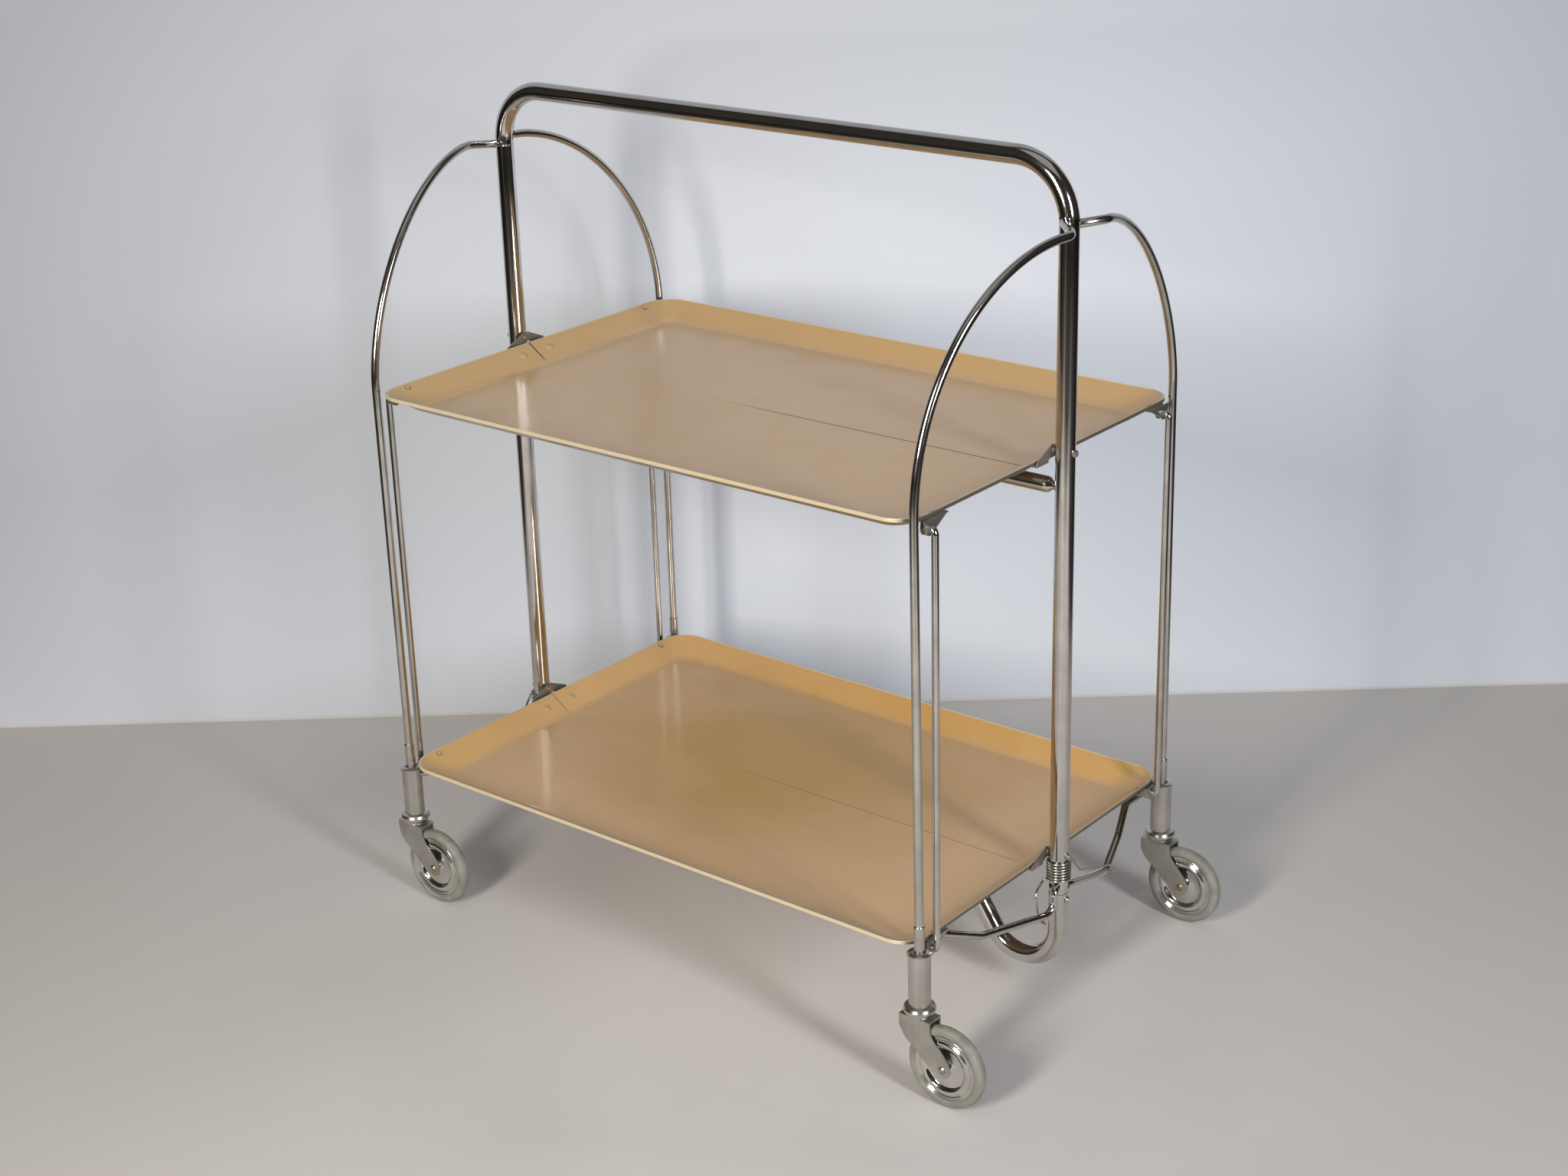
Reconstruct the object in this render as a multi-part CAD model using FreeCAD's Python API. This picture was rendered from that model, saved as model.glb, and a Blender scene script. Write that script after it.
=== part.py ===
import FreeCAD, Part
import math
import os
from FreeCAD import Vector as V

# Folding two-tier tea trolley. Millimetres, +Z up, X along the handle, -Y is the front.
# A hoop of tube stands in the middle plane. Each tray is two leaves that fold up on pins
# through the posts of the hoop, and four gate legs swing on upright pivots in the posts.

# ---- driving dimensions -------------------------------------------------------------
TRAY_L = 597.0            # tray, along X
TRAY_W = 402.0            # tray, both leaves together, along Y
RIM_Z = {"upper": 512.3, "lower": 142.0}
TRAY_DEPTH = 15.4         # rim down to the floor's upper face
RIM_RUN = 24.5            # width of the sloping rim, seen from above
SHEET = 1.3               # leaf sheet, measured upright
CORNER_R = 27.0
CREASE_R = 19.0
SPLIT = 0.8               # gap between the two leaves
LIP = 1.2                 # thickness of the turned lip
LIP_UP = 0.8
LIP_DOWN = 2.5

POST_X = 312.0            # posts stand this far from the middle
TUBE_R = 8.5              # posts and handle bar
FOOT_R = 8.8              # foot tube
TUBE_WALL = 1.25
BAR_Z = 757.3             # centre of the handle bar
BAR_BEND_R = 50.0
JOINT_Z = 111.1           # post ends here and the foot tube begins
JOINT_GAP = 0.3
FOOT_BEND_R = 36.5
FOOT_LOW_Z = 37.0         # lowest centre point of the foot tube's loop
FOOT_RUN_Z = 112.0        # centre of its straight run under the lower tray
FOOT_RISE = 57.0          # slope of the rising part, degrees
FOOT_RUN_BEND = 40.0

PIN_UP = 5.2              # hinge pin above the rim
PIN_R = 2.5
PIN_HEAD = 2.4            # the pin's outer head stands this proud of the post
FIT = 0.06                # radial play of a pin in its hole

LEG_X = 301.0             # socket and caster in the open position
LEG_Y = 193.6
LEG_R = 3.8
ARCH_X = 299.2            # the leg leans: its arch comes down at this X
STAY_R = 3.6
LINK_R = 3.1
NECK_R = 2.1
SHOULDER = 9.5            # full rod thickness begins this far from the post's axis
TOP_NECK_Z = {"high": 711.0, "low": 705.4}
LOW_NECK_Z = {"high": 118.6, "low": 114.1}
LOW_NECK_TURN = 22.0      # the lower neck leaves the post this much further outboard
EYE_R = 5.6
UNDER_X = 290.0           # the stay tucks under the lower rim along here
UNDER_Z = 128.8
SLOT_PLAY = 0.4
GATE_SWING = 50.0

LINK_X = 306.0
LINK_Y = 176.0
HOOK_DOWN = 10.2           # link rod hook below the rim
BRACKET_T = 1.2
LAYER = {"front": 300.3, "rear": 301.9}   # inner face of each hinge ear, along X
INNER_EAR = 295.8         # second, thinner ear of each corner bracket

SOCKET_R = 9.6
SOCKET_TOP = 137.0
SLEEVE_TOP = 160.8
SLEEVE_R = 4.6
LEG_END_Z = 110.2         # the leg ends here, inside its socket
LEG_FIT = 0.03
BEAD_Z = 83.2
CASTER_TOP = 78.4         # underside of the socket rests here
TRAIL = 28.0              # axle behind the stem
WHEEL_R = 37.3
TYRE_W = 11.0
DISC_R = 30.0
FORK_IN = 6.7             # half of the gap between the fork's cheeks
FORK_T = 1.6
FORK_HALF = 15.5
PLATE_Z = 77.6
STEM_R = 4.0
AXLE_R = 2.5

STRETCH_R = 7.0
SPIGOT_R = 3.4
STRETCH_Z = 486.0
SPRING_WIRE = 1.0
SPRING_HEX = 1.10         # corner radius of the coil's section, same area as the wire
SPRING_R = 10.0
SPRING_Z = 124.2
SPRING_PITCH = 2.75
SPRING_TURNS = 6.5

# the trailing wheels reach out further on one side, so the frame's origin, under the
# middle of the whole trolley, lies this far from the middle of the hoop
ORIGIN_X = ((LEG_X + TRAIL + WHEEL_R) - (POST_X + TUBE_R + PIN_HEAD)) / 2.0

ENDS = {"near": 1, "far": -1}
SIDES = {"front": -1, "rear": 1}
UP = V(0, 0, 1)


# ---- helpers ------------------------------------------------------------------------
def export(node, *shapes):
    solids = []
    for shape in shapes:
        solids.extend(shape.Solids)
    shape = solids[0] if len(solids) == 1 else Part.makeCompound(solids)
    shape = shape.copy()
    shape.translate(V(-ORIGIN_X, 0, 0))
    shape.exportStep("parts/" + node + ".step")


def rod(a, b, r):
    return Part.makeCylinder(r, (b - a).Length, a, b - a)


def prism(points, direction):
    return Part.Face(Part.makePolygon(points + [points[0]])).extrude(direction)


def lathe(profile, base=V(0, 0, 0), axis=UP):
    """Turns a closed (radius, height) outline about +Z, then sets it up along axis."""
    face = Part.Face(Part.makePolygon([V(r, 0, z) for r, z in profile + [profile[0]]]))
    solid = face.revolve(V(0, 0, 0), UP, 360)
    solid.Placement = FreeCAD.Placement(base, FreeCAD.Rotation(UP, axis))
    return solid


def elbow(start, direction, centre, angle, r):
    """Bend of a round rod: the part of a ring that leaves start in the given direction."""
    spoke = start - centre
    bend = Part.makeTorus(spoke.Length, r, V(0, 0, 0), UP, 0, 360, angle)
    turn = FreeCAD.Rotation(spoke, direction, spoke.cross(direction), "XYZ")
    bend.Placement = FreeCAD.Placement(centre, turn)
    return bend


def bent_rod(points, radii, r):
    """Straight runs joined by tangent bends, one radius for each inner point."""
    pieces = []
    start = points[0]
    for before, corner, after, radius in zip(points, points[1:], points[2:], radii):
        u = (before - corner).normalize()
        w = (after - corner).normalize()
        half = u.getAngle(w) / 2.0
        setback = radius / math.tan(half)
        centre = corner + (u + w).normalize() * (radius / math.sin(half))
        first = corner + u * setback
        pieces.append(rod(start, first, r))
        pieces.append(elbow(first, u * -1, centre, 180.0 - 2 * math.degrees(half), r))
        start = corner + w * setback
    pieces.append(rod(start, points[-1], r))
    return pieces[0].multiFuse(pieces[1:])


def mirror_x(shape):
    return shape.mirror(V(0, 0, 0), V(1, 0, 0))


def half_turn(shape):
    turned = shape.copy()
    turned.rotate(V(0, 0, 0), UP, 180)
    return turned


def rounded_rectangle(a, b, r, z):
    c = r * math.sqrt(0.5)
    edges = []
    corners = [(a - r, b - r, 1, 1), (-a + r, b - r, -1, 1), (-a + r, -b + r, -1, -1), (a - r, -b + r, 1, -1)]
    for i, (x, y, sx, sy) in enumerate(corners):
        first = V(x + sx * r, y, z)
        last = V(x, y + sy * r, z)
        if sx != sy:
            first, last = last, first
        arc = Part.Arc(first, V(x + sx * c, y + sy * c, z), last)
        edges.append((arc.toShape(), first, last))
    outline = []
    for i, (arc, first, last) in enumerate(edges):
        outline.append(arc)
        outline.append(Part.LineSegment(last, edges[(i + 1) % 4][1]).toShape())
    return Part.Wire(outline)


# ---- trays --------------------------------------------------------------------------
HALF_L = TRAY_L / 2.0
HALF_W = TRAY_W / 2.0
SLOPE = (TRAY_DEPTH + SHEET) / RIM_RUN
NORMAL = V(-SLOPE, 0, 1).normalize()      # upward normal of the near end's rim


def under_rim(x):
    """Height of the sloping rim's underside at the ends, from the rim."""
    return -(HALF_L - x) * SLOPE


def tray(rim):
    floor = rim - TRAY_DEPTH - SHEET
    bowl = Part.makeLoft([rounded_rectangle(HALF_L, HALF_W, CORNER_R, rim),
                          rounded_rectangle(HALF_L - RIM_RUN, HALF_W - RIM_RUN, CREASE_R, floor)], True, True)
    hollow = bowl.copy()
    hollow.translate(V(0, 0, SHEET))
    outer = Part.Face(rounded_rectangle(HALF_L, HALF_W, CORNER_R, rim - LIP_DOWN))
    inner = Part.Face(rounded_rectangle(HALF_L - LIP, HALF_W - LIP, CORNER_R - LIP, rim - LIP_DOWN))
    lip = outer.cut(inner).extrude(V(0, 0, LIP_DOWN + LIP_UP))
    return bowl.cut(hollow).fuse(lip)


def rivet(x, y, rim):
    """Round head above the rim, shank through sheet and bracket, small tail below."""
    foot = V(x, y, rim + under_rim(x)) - NORMAL * (BRACKET_T + 0.1)
    grip = SHEET * NORMAL.z + BRACKET_T + 0.1
    shape = lathe([(0, -0.8), (3.0, -0.8), (3.0, 0), (2.0, 0), (2.0, grip), (3.7, grip),
                   (2.9, grip + 1.0), (0, grip + 1.4)], foot, NORMAL)
    hole = rod(foot - NORMAL * 3.0, foot + NORMAL * 6.0, 2.0)
    return shape, hole


def foot_plate(x_out, rim, y0, y1):
    """Strip that leaves the ear below the lip and lies against the rim's underside."""
    drop = LIP_DOWN + 0.05
    x_touch = HALF_L - drop / SLOPE
    x_in = HALF_L - 21.0
    t = BRACKET_T + 0.1
    x_bend = HALF_L - (drop + t - t / NORMAL.z) / SLOPE
    side = [V(x_out, y0, rim - drop), V(x_touch, y0, rim - drop), V(x_in, y0, rim + under_rim(x_in)),
            V(x_in, y0, rim + under_rim(x_in)) - NORMAL * t, V(x_bend, y0, rim - drop - t),
            V(x_out, y0, rim - drop - t)]
    return prism(side, V(0, y1 - y0, 0))


def hinge_bracket(side, rim):
    """Upright triangular ear at the tray's end with the pin hole at its tip."""
    s = SIDES[side]
    x = LAYER[side]
    pin_z = rim + PIN_UP
    tip = 4.7
    base = rim - LIP_DOWN - BRACKET_T - 0.15
    ear = prism([V(x, s * 2.5, pin_z + 5.4), V(x, s * 25.0, rim + 0.6), V(x, s * 27.0, base),
                 V(x, s * 13.0, base), V(x, s * 5.0, pin_z - tip), V(x, 0, pin_z - tip + 0.1)], V(BRACKET_T, 0, 0))
    ear = ear.fuse(Part.makeCylinder(tip, BRACKET_T, V(x, 0, pin_z), V(1, 0, 0)))
    y0, y1 = sorted([s * 9.0, s * 26.5])
    ear = ear.fuse(foot_plate(x + BRACKET_T, rim, y0, y1))
    ear = ear.cut(Part.makeCylinder(PIN_R + FIT, 20, V(x - 9, 0, pin_z), V(1, 0, 0)))
    return ear


def corner_bracket(side, rim):
    """Pointed ear that hangs below the rim near the corner and holds a link rod's hook."""
    s = SIDES[side]
    x = LAYER["front"]
    base = rim - LIP_DOWN - BRACKET_T - 0.15
    hook = rim - HOOK_DOWN
    outline = [V(0, s * 152.0, base + 1.25), V(0, s * 184.0, base + 1.25), V(0, s * (LINK_Y + 5.4), hook - 2.4),
               V(0, s * (LINK_Y - 4.6), hook - 3.8)]
    ears = []
    for inner, t, lift in ((x, BRACKET_T, 0.0), (INNER_EAR, 1.0, 0.6)):
        top = outline[:2]
        if lift:
            top = [V(0, s * 166.0, base + lift), V(0, s * 181.5, base + lift)]
        ear = prism([point + V(inner, 0, 0) for point in top + outline[2:]], V(t, 0, 0))
        ears.append(ear.fuse(Part.makeCylinder(6.0, t, V(inner, s * LINK_Y, hook), V(1, 0, 0))))
    y0, y1 = sorted([s * 152.0, s * 167.5])
    ear = ears[0].multiFuse([ears[1], foot_plate(x + BRACKET_T, rim, y0, y1)])
    return ear.cut(Part.makeCylinder(LINK_R + FIT, 20, V(x - 12, s * LINK_Y, hook), V(1, 0, 0)))


def make_leaves():
    for tier, rim in RIM_Z.items():
        whole = tray(rim)
        floor = rim - TRAY_DEPTH - SHEET
        for side, s in SIDES.items():
            y0, y1 = sorted([s * SPLIT / 2.0, s * (HALF_W + 5.0)])
            keep = Part.makeBox(TRAY_L + 20, y1 - y0, 60, V(-HALF_L - 10, y0, rim - 40))
            leaf = whole.common(keep)
            # turned-down edge that stiffens the leaf along the split
            run = HALF_L - RIM_RUN - 3.0
            f0, f1 = sorted([s * SPLIT / 2.0, s * (SPLIT / 2.0 + SHEET)])
            leaf = leaf.fuse(Part.makeBox(2 * run, f1 - f0, 2.8, V(-run, f0, floor - 2.2)))
            hinges, corners, rivets = [], [], []
            for end, e in ENDS.items():
                pieces = [(hinge_bracket(side, rim), 18.0, hinges), (corner_bracket(side, rim), 160.0, corners)]
                for bracket, y, group in pieces:
                    head, hole = rivet(HALF_L - 11.0, s * y, rim)
                    bracket = bracket.cut(hole)
                    if e < 0:
                        bracket, head, hole = [mirror_x(item) for item in (bracket, head, hole)]
                    leaf = leaf.cut(hole).cut(head)
                    group.append(bracket)
                    rivets.append(head)
            name = tier + "_" + side
            export("leaf_" + name, leaf.removeSplitter())
            export("hinge_brackets_" + name, *hinges)
            export("corner_brackets_" + name, *corners)
            export("rivets_" + name, *rivets)


# ---- fixed frame --------------------------------------------------------------------
def slot(z, start, sweep):
    wedge = Part.makeCylinder(TUBE_R + 3, 2 * (NECK_R + SLOT_PLAY), V(POST_X, 0, z - NECK_R - SLOT_PLAY), UP, sweep)
    wedge.rotate(V(POST_X, 0, 0), UP, start)
    return wedge


NECK_AZ = math.degrees(math.atan2(LEG_Y, ARCH_X - POST_X))     # open position, rear gate, near post
SLOT_END = 23.0


def post_cutters():
    """Openings of the near post; the far post has the same, turned half round."""
    span = GATE_SWING + 2 * SLOT_END
    cutters = []
    for heights, turn in ((TOP_NECK_Z, 0.0), (LOW_NECK_Z, LOW_NECK_TURN)):
        rear = NECK_AZ - turn - SLOT_END
        cutters += [slot(heights["low"], rear, span), slot(heights["high"], -rear - span, span)]
    for rim in RIM_Z.values():
        cutters.append(rod(V(POST_X - 12, 0, rim + PIN_UP), V(POST_X + 12, 0, rim + PIN_UP), PIN_R + FIT))
    cutters.append(rod(V(POST_X - 12, 0, STRETCH_Z), V(POST_X, 0, STRETCH_Z), SPIGOT_R + FIT))
    return cutters


def make_frame():
    hoop = [V(-POST_X, 0, JOINT_Z), V(-POST_X, 0, BAR_Z), V(POST_X, 0, BAR_Z), V(POST_X, 0, JOINT_Z)]
    bends = [BAR_BEND_R] * 2
    tube = bent_rod(hoop, bends, TUBE_R).cut(bent_rod(hoop, bends, TUBE_R - TUBE_WALL))
    for cutter in post_cutters():
        tube = tube.cut(cutter).cut(half_turn(cutter))
    export("handle_frame", tube)

    # foot tube: down from the post, round a tight loop, up at a slope and along under the tray
    slope = math.radians(FOOT_RISE)
    point_z = FOOT_LOW_Z + FOOT_BEND_R - FOOT_BEND_R / math.tan(math.radians(45.0) - slope / 2.0)
    run_x = POST_X - (FOOT_RUN_Z - point_z) / math.tan(slope)
    near = [V(POST_X, 0, JOINT_Z - JOINT_GAP), V(POST_X, 0, point_z), V(run_x, 0, FOOT_RUN_Z)]
    path = near + [V(-point.x, 0, point.z) for point in reversed(near)]
    bends = [FOOT_BEND_R, FOOT_RUN_BEND, FOOT_RUN_BEND, FOOT_BEND_R]
    foot = bent_rod(path, bends, FOOT_R).cut(bent_rod(path, bends, TUBE_R - TUBE_WALL))
    rivet_z = 104.6
    hole = rod(V(POST_X - 12, 0, rivet_z), V(POST_X + 12, 0, rivet_z), 2.0)
    export("foot_tube", foot.cut(hole).cut(mirror_x(hole)))

    # turned plugs inside the posts carry the upright pivots of the gates
    bore = TUBE_R - TUBE_WALL - 0.03
    plugs = []
    for base, seat, top in ((93.0, 111.3, 121.6), (689.0, 702.5, 714.6)):
        profile = [(0, base), (bore - 1, base), (bore, base + 1), (bore, seat), (PIN_R, seat), (PIN_R, top), (0, top)]
        plugs.append(lathe(profile, V(POST_X, 0, 0)).cut(hole))
    export("pivot_plugs", *plugs, *[mirror_x(plug) for plug in plugs])

    across = 2 * FOOT_R
    shank = lathe([(0, 0), (2.0, 0), (2.0, across - 0.4), (3.1, across), (3.1, across + 1.0), (2.4, across + 1.8),
                   (1.5, across + 1.8), (0.9, across + 1.0), (0, across + 0.8)], V(POST_X - FOOT_R, 0, rivet_z),
                  V(1, 0, 0))
    shank = shank.cut(Part.makeCylinder(FOOT_R, 20, V(POST_X, 0, rivet_z - 10), UP).cut(hole))
    export("foot_rivets", shank, mirror_x(shank))

    pins = []
    for rim in RIM_Z.values():
        start = 298.7
        reach = POST_X + TUBE_R - start
        outline = [(0, 0), (3.6, 0), (3.8, 0.6), (3.8, 1.3), (PIN_R, 1.3), (PIN_R, reach - 0.4), (3.1, reach),
                   (3.1, reach + 1.4), (2.4, reach + PIN_HEAD), (1.5, reach + PIN_HEAD), (0.9, reach + 1.4),
                   (0, reach + 1.2)]
        pin = lathe(outline, V(start, 0, rim + PIN_UP), V(1, 0, 0))
        wall = Part.makeCylinder(TUBE_R + 0.02, 20, V(POST_X, 0, rim + PIN_UP - 10), UP)
        wall = wall.cut(rod(V(POST_X - 20, 0, rim + PIN_UP), V(POST_X + 20, 0, rim + PIN_UP), PIN_R))
        pins.append(pin.cut(wall))
    export("hinge_pins", *pins, *[mirror_x(pin) for pin in pins])

    # stretcher below the upper tray, drawn down to a spigot at both ends
    tip = POST_X - TUBE_R
    half = [(0, 0), (STRETCH_R, 0), (STRETCH_R, tip - 9.0), (STRETCH_R - 0.6, tip - 6.6), (STRETCH_R - 2.0, tip - 4.6),
            (SPIGOT_R + 0.6, tip - 3.4), (SPIGOT_R, tip - 2.4), (SPIGOT_R, tip + 1.1), (0, tip + 1.1)]
    bar = lathe(half, V(0, 0, STRETCH_Z), V(1, 0, 0))
    export("stretcher", bar.fuse(mirror_x(bar)).removeSplitter())


# ---- link rods ----------------------------------------------------------------------
def make_links():
    for side, s in SIDES.items():
        y = s * LINK_Y
        top = RIM_Z["upper"] - HOOK_DOWN
        low = RIM_Z["lower"] - HOOK_DOWN
        tip = INNER_EAR - 0.6
        shape = bent_rod([V(tip, y, low), V(LINK_X, y, low), V(LINK_X, y, top), V(tip, y, top)], [4.2] * 2, LINK_R)
        export("link_rod_" + side + "_near", shape)
        export("link_rod_" + side + "_far", mirror_x(shape))


# ---- gate legs ----------------------------------------------------------------------
def neck(z, azimuth):
    """Flat eye on the upright pivot with the thin neck that passes through the slot."""
    centre = V(POST_X, 0, z)
    out = V(math.cos(math.radians(azimuth)), math.sin(math.radians(azimuth)), 0)
    eye = Part.makeCylinder(EYE_R, 2 * NECK_R, centre - UP * NECK_R, UP)
    eye = eye.fuse(rod(centre, centre + out * (SHOULDER + 0.5), NECK_R))
    return eye.cut(Part.makeCylinder(PIN_R + FIT, 20, centre - UP * 10, UP)), out


def gate_leg(s, level):
    """Quarter-circle arch from the post, then the leg, which leans a little towards its socket."""
    z = TOP_NECK_Z[level]
    eye, out = neck(z, s * NECK_AZ)
    reach = math.hypot(ARCH_X - POST_X, LEG_Y)
    centre = V(POST_X, 0, z - reach)
    lean = math.degrees(math.asin(SHOULDER / reach))
    start = centre + out * SHOULDER + UP * (reach * math.cos(math.radians(lean)))
    tangent = (start - centre).cross(UP.cross(out)) * -1
    arch = elbow(start, tangent, centre, 90.0 - lean, LEG_R)
    knee = centre + out * reach
    ankle = V(LEG_X, s * LEG_Y, SLEEVE_TOP + 4.0)
    leg = bent_rod([knee, knee - UP * 4.0, ankle, V(LEG_X, s * LEG_Y, LEG_END_Z)], [300.0, 300.0], LEG_R)
    return eye.multiFuse([arch, leg])


def socket(s):
    """Turned foot: thin sleeve, stepped collar, parallel body and a round bead."""
    top = SOCKET_TOP
    r = SOCKET_R
    outline = [(0, CASTER_TOP), (9.0, CASTER_TOP), (10.6, CASTER_TOP + 0.9), (12.6, CASTER_TOP + 2.0),
               (13.8, BEAD_Z - 0.6), (13.8, BEAD_Z + 1.6), (12.8, BEAD_Z + 3.8), (r, BEAD_Z + 5.2), (r, top - 3.4),
               (r + 0.8, top - 2.8), (r + 0.8, top - 1.4), (r - 0.6, top - 0.6), (r - 2.6, top), (SLEEVE_R + 1.4, top),
               (SLEEVE_R, top + 1.6), (SLEEVE_R, SLEEVE_TOP - 0.7), (LEG_R + 0.3, SLEEVE_TOP), (0, SLEEVE_TOP)]
    place = V(LEG_X, s * LEG_Y, 0)
    body = lathe(outline, place)
    body = body.cut(Part.makeCylinder(LEG_R + LEG_FIT, 60, place + UP * (LEG_END_Z - 0.2), UP))
    return body.cut(Part.makeCylinder(STEM_R + 0.08, 24, place + UP * (CASTER_TOP - 1), UP))


def stay(s, level):
    """Cranked rod from the lower pivot, under the tray's end, to the side of the socket."""
    z = LOW_NECK_Z[level]
    eye, out = neck(z, s * (NECK_AZ - LOW_NECK_TURN))
    axis = V(POST_X, 0, z)
    if level == "high":
        drop = axis + out * (SHOULDER + 5.4)
        knees = [drop, V(drop.x, drop.y, 96.2), V(302.7, s * 106.0, 111.2)]
        radii = [5.0, 11.0, 16.0]
    else:
        knees = [axis + out * (SHOULDER + 3.5), V(307.0, s * 86.0, 91.5), V(303.5, s * 112.0, 113.5)]
        radii = [6.0, 8.0, 20.0]
    tuck = [V(UNDER_X, s * 148.0, UNDER_Z), V(UNDER_X, s * 180.0, UNDER_Z), V(298.0, s * LEG_Y, UNDER_Z - 0.6)]
    bar = bent_rod([axis + out * SHOULDER] + knees + tuck, radii + [12.0, 10.0], STAY_R)
    bar = bar.cut(Part.makeCylinder(SOCKET_R, 60, V(LEG_X, s * LEG_Y, 90), UP))
    parts = sorted(bar.Solids, key=lambda item: -item.Volume)
    return eye.fuse(parts[0])


def make_gates():
    levels = {"front": "high", "rear": "low"}
    for side, s in SIDES.items():
        leg = gate_leg(s, levels[side])
        foot = socket(s)
        arm = stay(s, levels[side])
        other = "rear" if side == "front" else "front"
        for name, shape in (("leg_", leg), ("socket_", foot), ("stay_", arm)):
            export(name + side + "_near", shape)
            export(name + other + "_far", half_turn(shape))


# ---- torsion springs ----------------------------------------------------------------
def make_springs():
    start = math.radians(215.0)
    end = start + SPRING_TURNS * 2 * math.pi
    rise = SPRING_PITCH * SPRING_TURNS
    helix = Part.makeHelix(SPRING_PITCH, rise, SPRING_R)
    section = [V(SPRING_R + SPRING_HEX * math.cos(math.radians(a)), 0, SPRING_HEX * math.sin(math.radians(a)))
               for a in range(0, 361, 60)]
    coil = Part.Solid(Part.Wire(helix).makePipeShell([Part.makePolygon(section)], True, True))
    coil.rotate(V(0, 0, 0), UP, math.degrees(start))
    coil.translate(V(POST_X, 0, SPRING_Z))
    low = V(POST_X + SPRING_R * math.cos(start), SPRING_R * math.sin(start), SPRING_Z)
    high = V(POST_X + SPRING_R * math.cos(end), SPRING_R * math.sin(end), SPRING_Z + rise)
    back = V(math.sin(start), -math.cos(start), 0)
    onward = V(-math.sin(end), math.cos(end), 0)
    front = bent_rod([low, low + back * 6.0, V(304.0, -25.0, 117.0), V(308.6, -26.5, 92.9), V(317.5, -28.5, 92.0)],
                     [2.5, 8.0, 1.6], SPRING_WIRE)
    rear = bent_rod([high, high + onward * 6.0, V(314.8, 30.5, 119.5), V(312.4, 84.0, 100.4), V(311.0, 95.6, 90.0),
                     V(303.5, 93.5, 85.4)], [2.0, 3.0, 5.0, 3.0], SPRING_WIRE)
    coil = coil.multiFuse([front, rear])
    for end_name, place in (("near", lambda item: item), ("far", half_turn)):
        export("spring_" + end_name, place(coil))


# ---- casters ------------------------------------------------------------------------
def fork():
    """One pressed strip: flat top, two cheeks swept back to the axle, riveted stem."""
    y = FORK_IN + FORK_T
    plate = Part.makeBox(2 * FORK_HALF, 2 * y, FORK_T, V(-FORK_HALF, -y, PLATE_Z - FORK_T))
    boss = 7.5
    lead = [V(-FORK_HALF, 0, 68), V(-10.6, 0, 58), V(1.4, 0, 48), V(13.5, 0, 37), V(TRAIL - 3.5, 0, WHEEL_R - 6.63)]
    trail = [V(FORK_HALF, 0, 70), V(18.8, 0, 61.5), V(26.2, 0, 54), V(32.8, 0, 45.5), V(TRAIL + 7.4, 0, WHEEL_R + 1.2)]
    front = Part.BSplineCurve()
    front.interpolate(Points=lead, InitialTangent=V(0.3, 0, -1) * 16, FinalTangent=V(0.8, 0, -0.4) * 9)
    back = Part.BSplineCurve()
    back.interpolate(Points=trail, InitialTangent=V(0.1, 0, -1) * 9, FinalTangent=V(0.1, 0, -1) * 7)
    edges = [Part.LineSegment(V(-FORK_HALF, 0, PLATE_Z), lead[0]).toShape(), front.toShape(),
             Part.Arc(lead[-1], V(TRAIL + boss * 0.6, 0, WHEEL_R - boss * 0.8), trail[-1]).toShape(),
             back.toShape(), Part.LineSegment(trail[0], V(FORK_HALF, 0, PLATE_Z)).toShape(),
             Part.LineSegment(V(FORK_HALF, 0, PLATE_Z), V(-FORK_HALF, 0, PLATE_Z)).toShape()]
    cheek = Part.Face(Part.Wire(Part.__sortEdges__(edges))).extrude(V(0, FORK_T, 0))
    shape = plate
    for y0 in (-y, FORK_IN):
        side = cheek.copy()
        side.translate(V(0, y0, 0))
        shape = shape.fuse(side)
    stem = lathe([(0, PLATE_Z - 2.4), (6.0, PLATE_Z - 2.4), (6.0, PLATE_Z), (9.0, PLATE_Z), (9.0, CASTER_TOP - 0.05),
                  (STEM_R, CASTER_TOP - 0.05), (STEM_R, 99.0), (STEM_R - 1, 100.4), (0, 100.4)])
    shape = shape.fuse(stem)
    return shape.cut(rod(V(TRAIL, -20, WHEEL_R), V(TRAIL, 20, WHEEL_R), AXLE_R + FIT)).removeSplitter()


def axle():
    reach = FORK_IN + FORK_T
    tail = [(0, -reach - 1.6), (2.2, -reach - 1.4), (3.6, -reach - 0.4), (3.6, -reach), (AXLE_R, -reach)]
    head = [(AXLE_R, reach), (3.6, reach), (3.6, reach + 0.4), (2.2, reach + 1.4), (0, reach + 1.6)]
    return lathe(tail + head, V(TRAIL, 0, WHEEL_R), V(0, 1, 0))


def wheel_disc():
    """Pressed disc: raised hub, hollow dish, step, flared ring and rolled edge."""
    face = [(AXLE_R + FIT, 6.2), (5.6, 6.2), (7.0, 5.0), (10.0, 3.6), (15.0, 2.4), (20.0, 2.7), (23.0, 3.8),
            (23.8, 4.9), (26.6, 5.4), (27.4, 4.9), (28.6, 5.2), (DISC_R, 4.9)]
    outline = face + [(r, -y) for r, y in reversed(face)]
    return lathe(outline, V(TRAIL, 0, WHEEL_R), V(0, 1, 0))


def tyre():
    w = TYRE_W / 2.0
    outline = [(DISC_R + 0.01, -w + 0.4), (DISC_R + 1.2, -w), (34.2, -w), (35.9, -w + 1.1), (36.9, -2.4),
               (WHEEL_R, -0.8), (WHEEL_R, 0.8), (36.9, 2.4), (35.9, w - 1.1), (34.2, w), (DISC_R + 1.2, w),
               (DISC_R + 0.01, w - 0.4)]
    return lathe(outline, V(TRAIL, 0, WHEEL_R), V(0, 1, 0))


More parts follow.
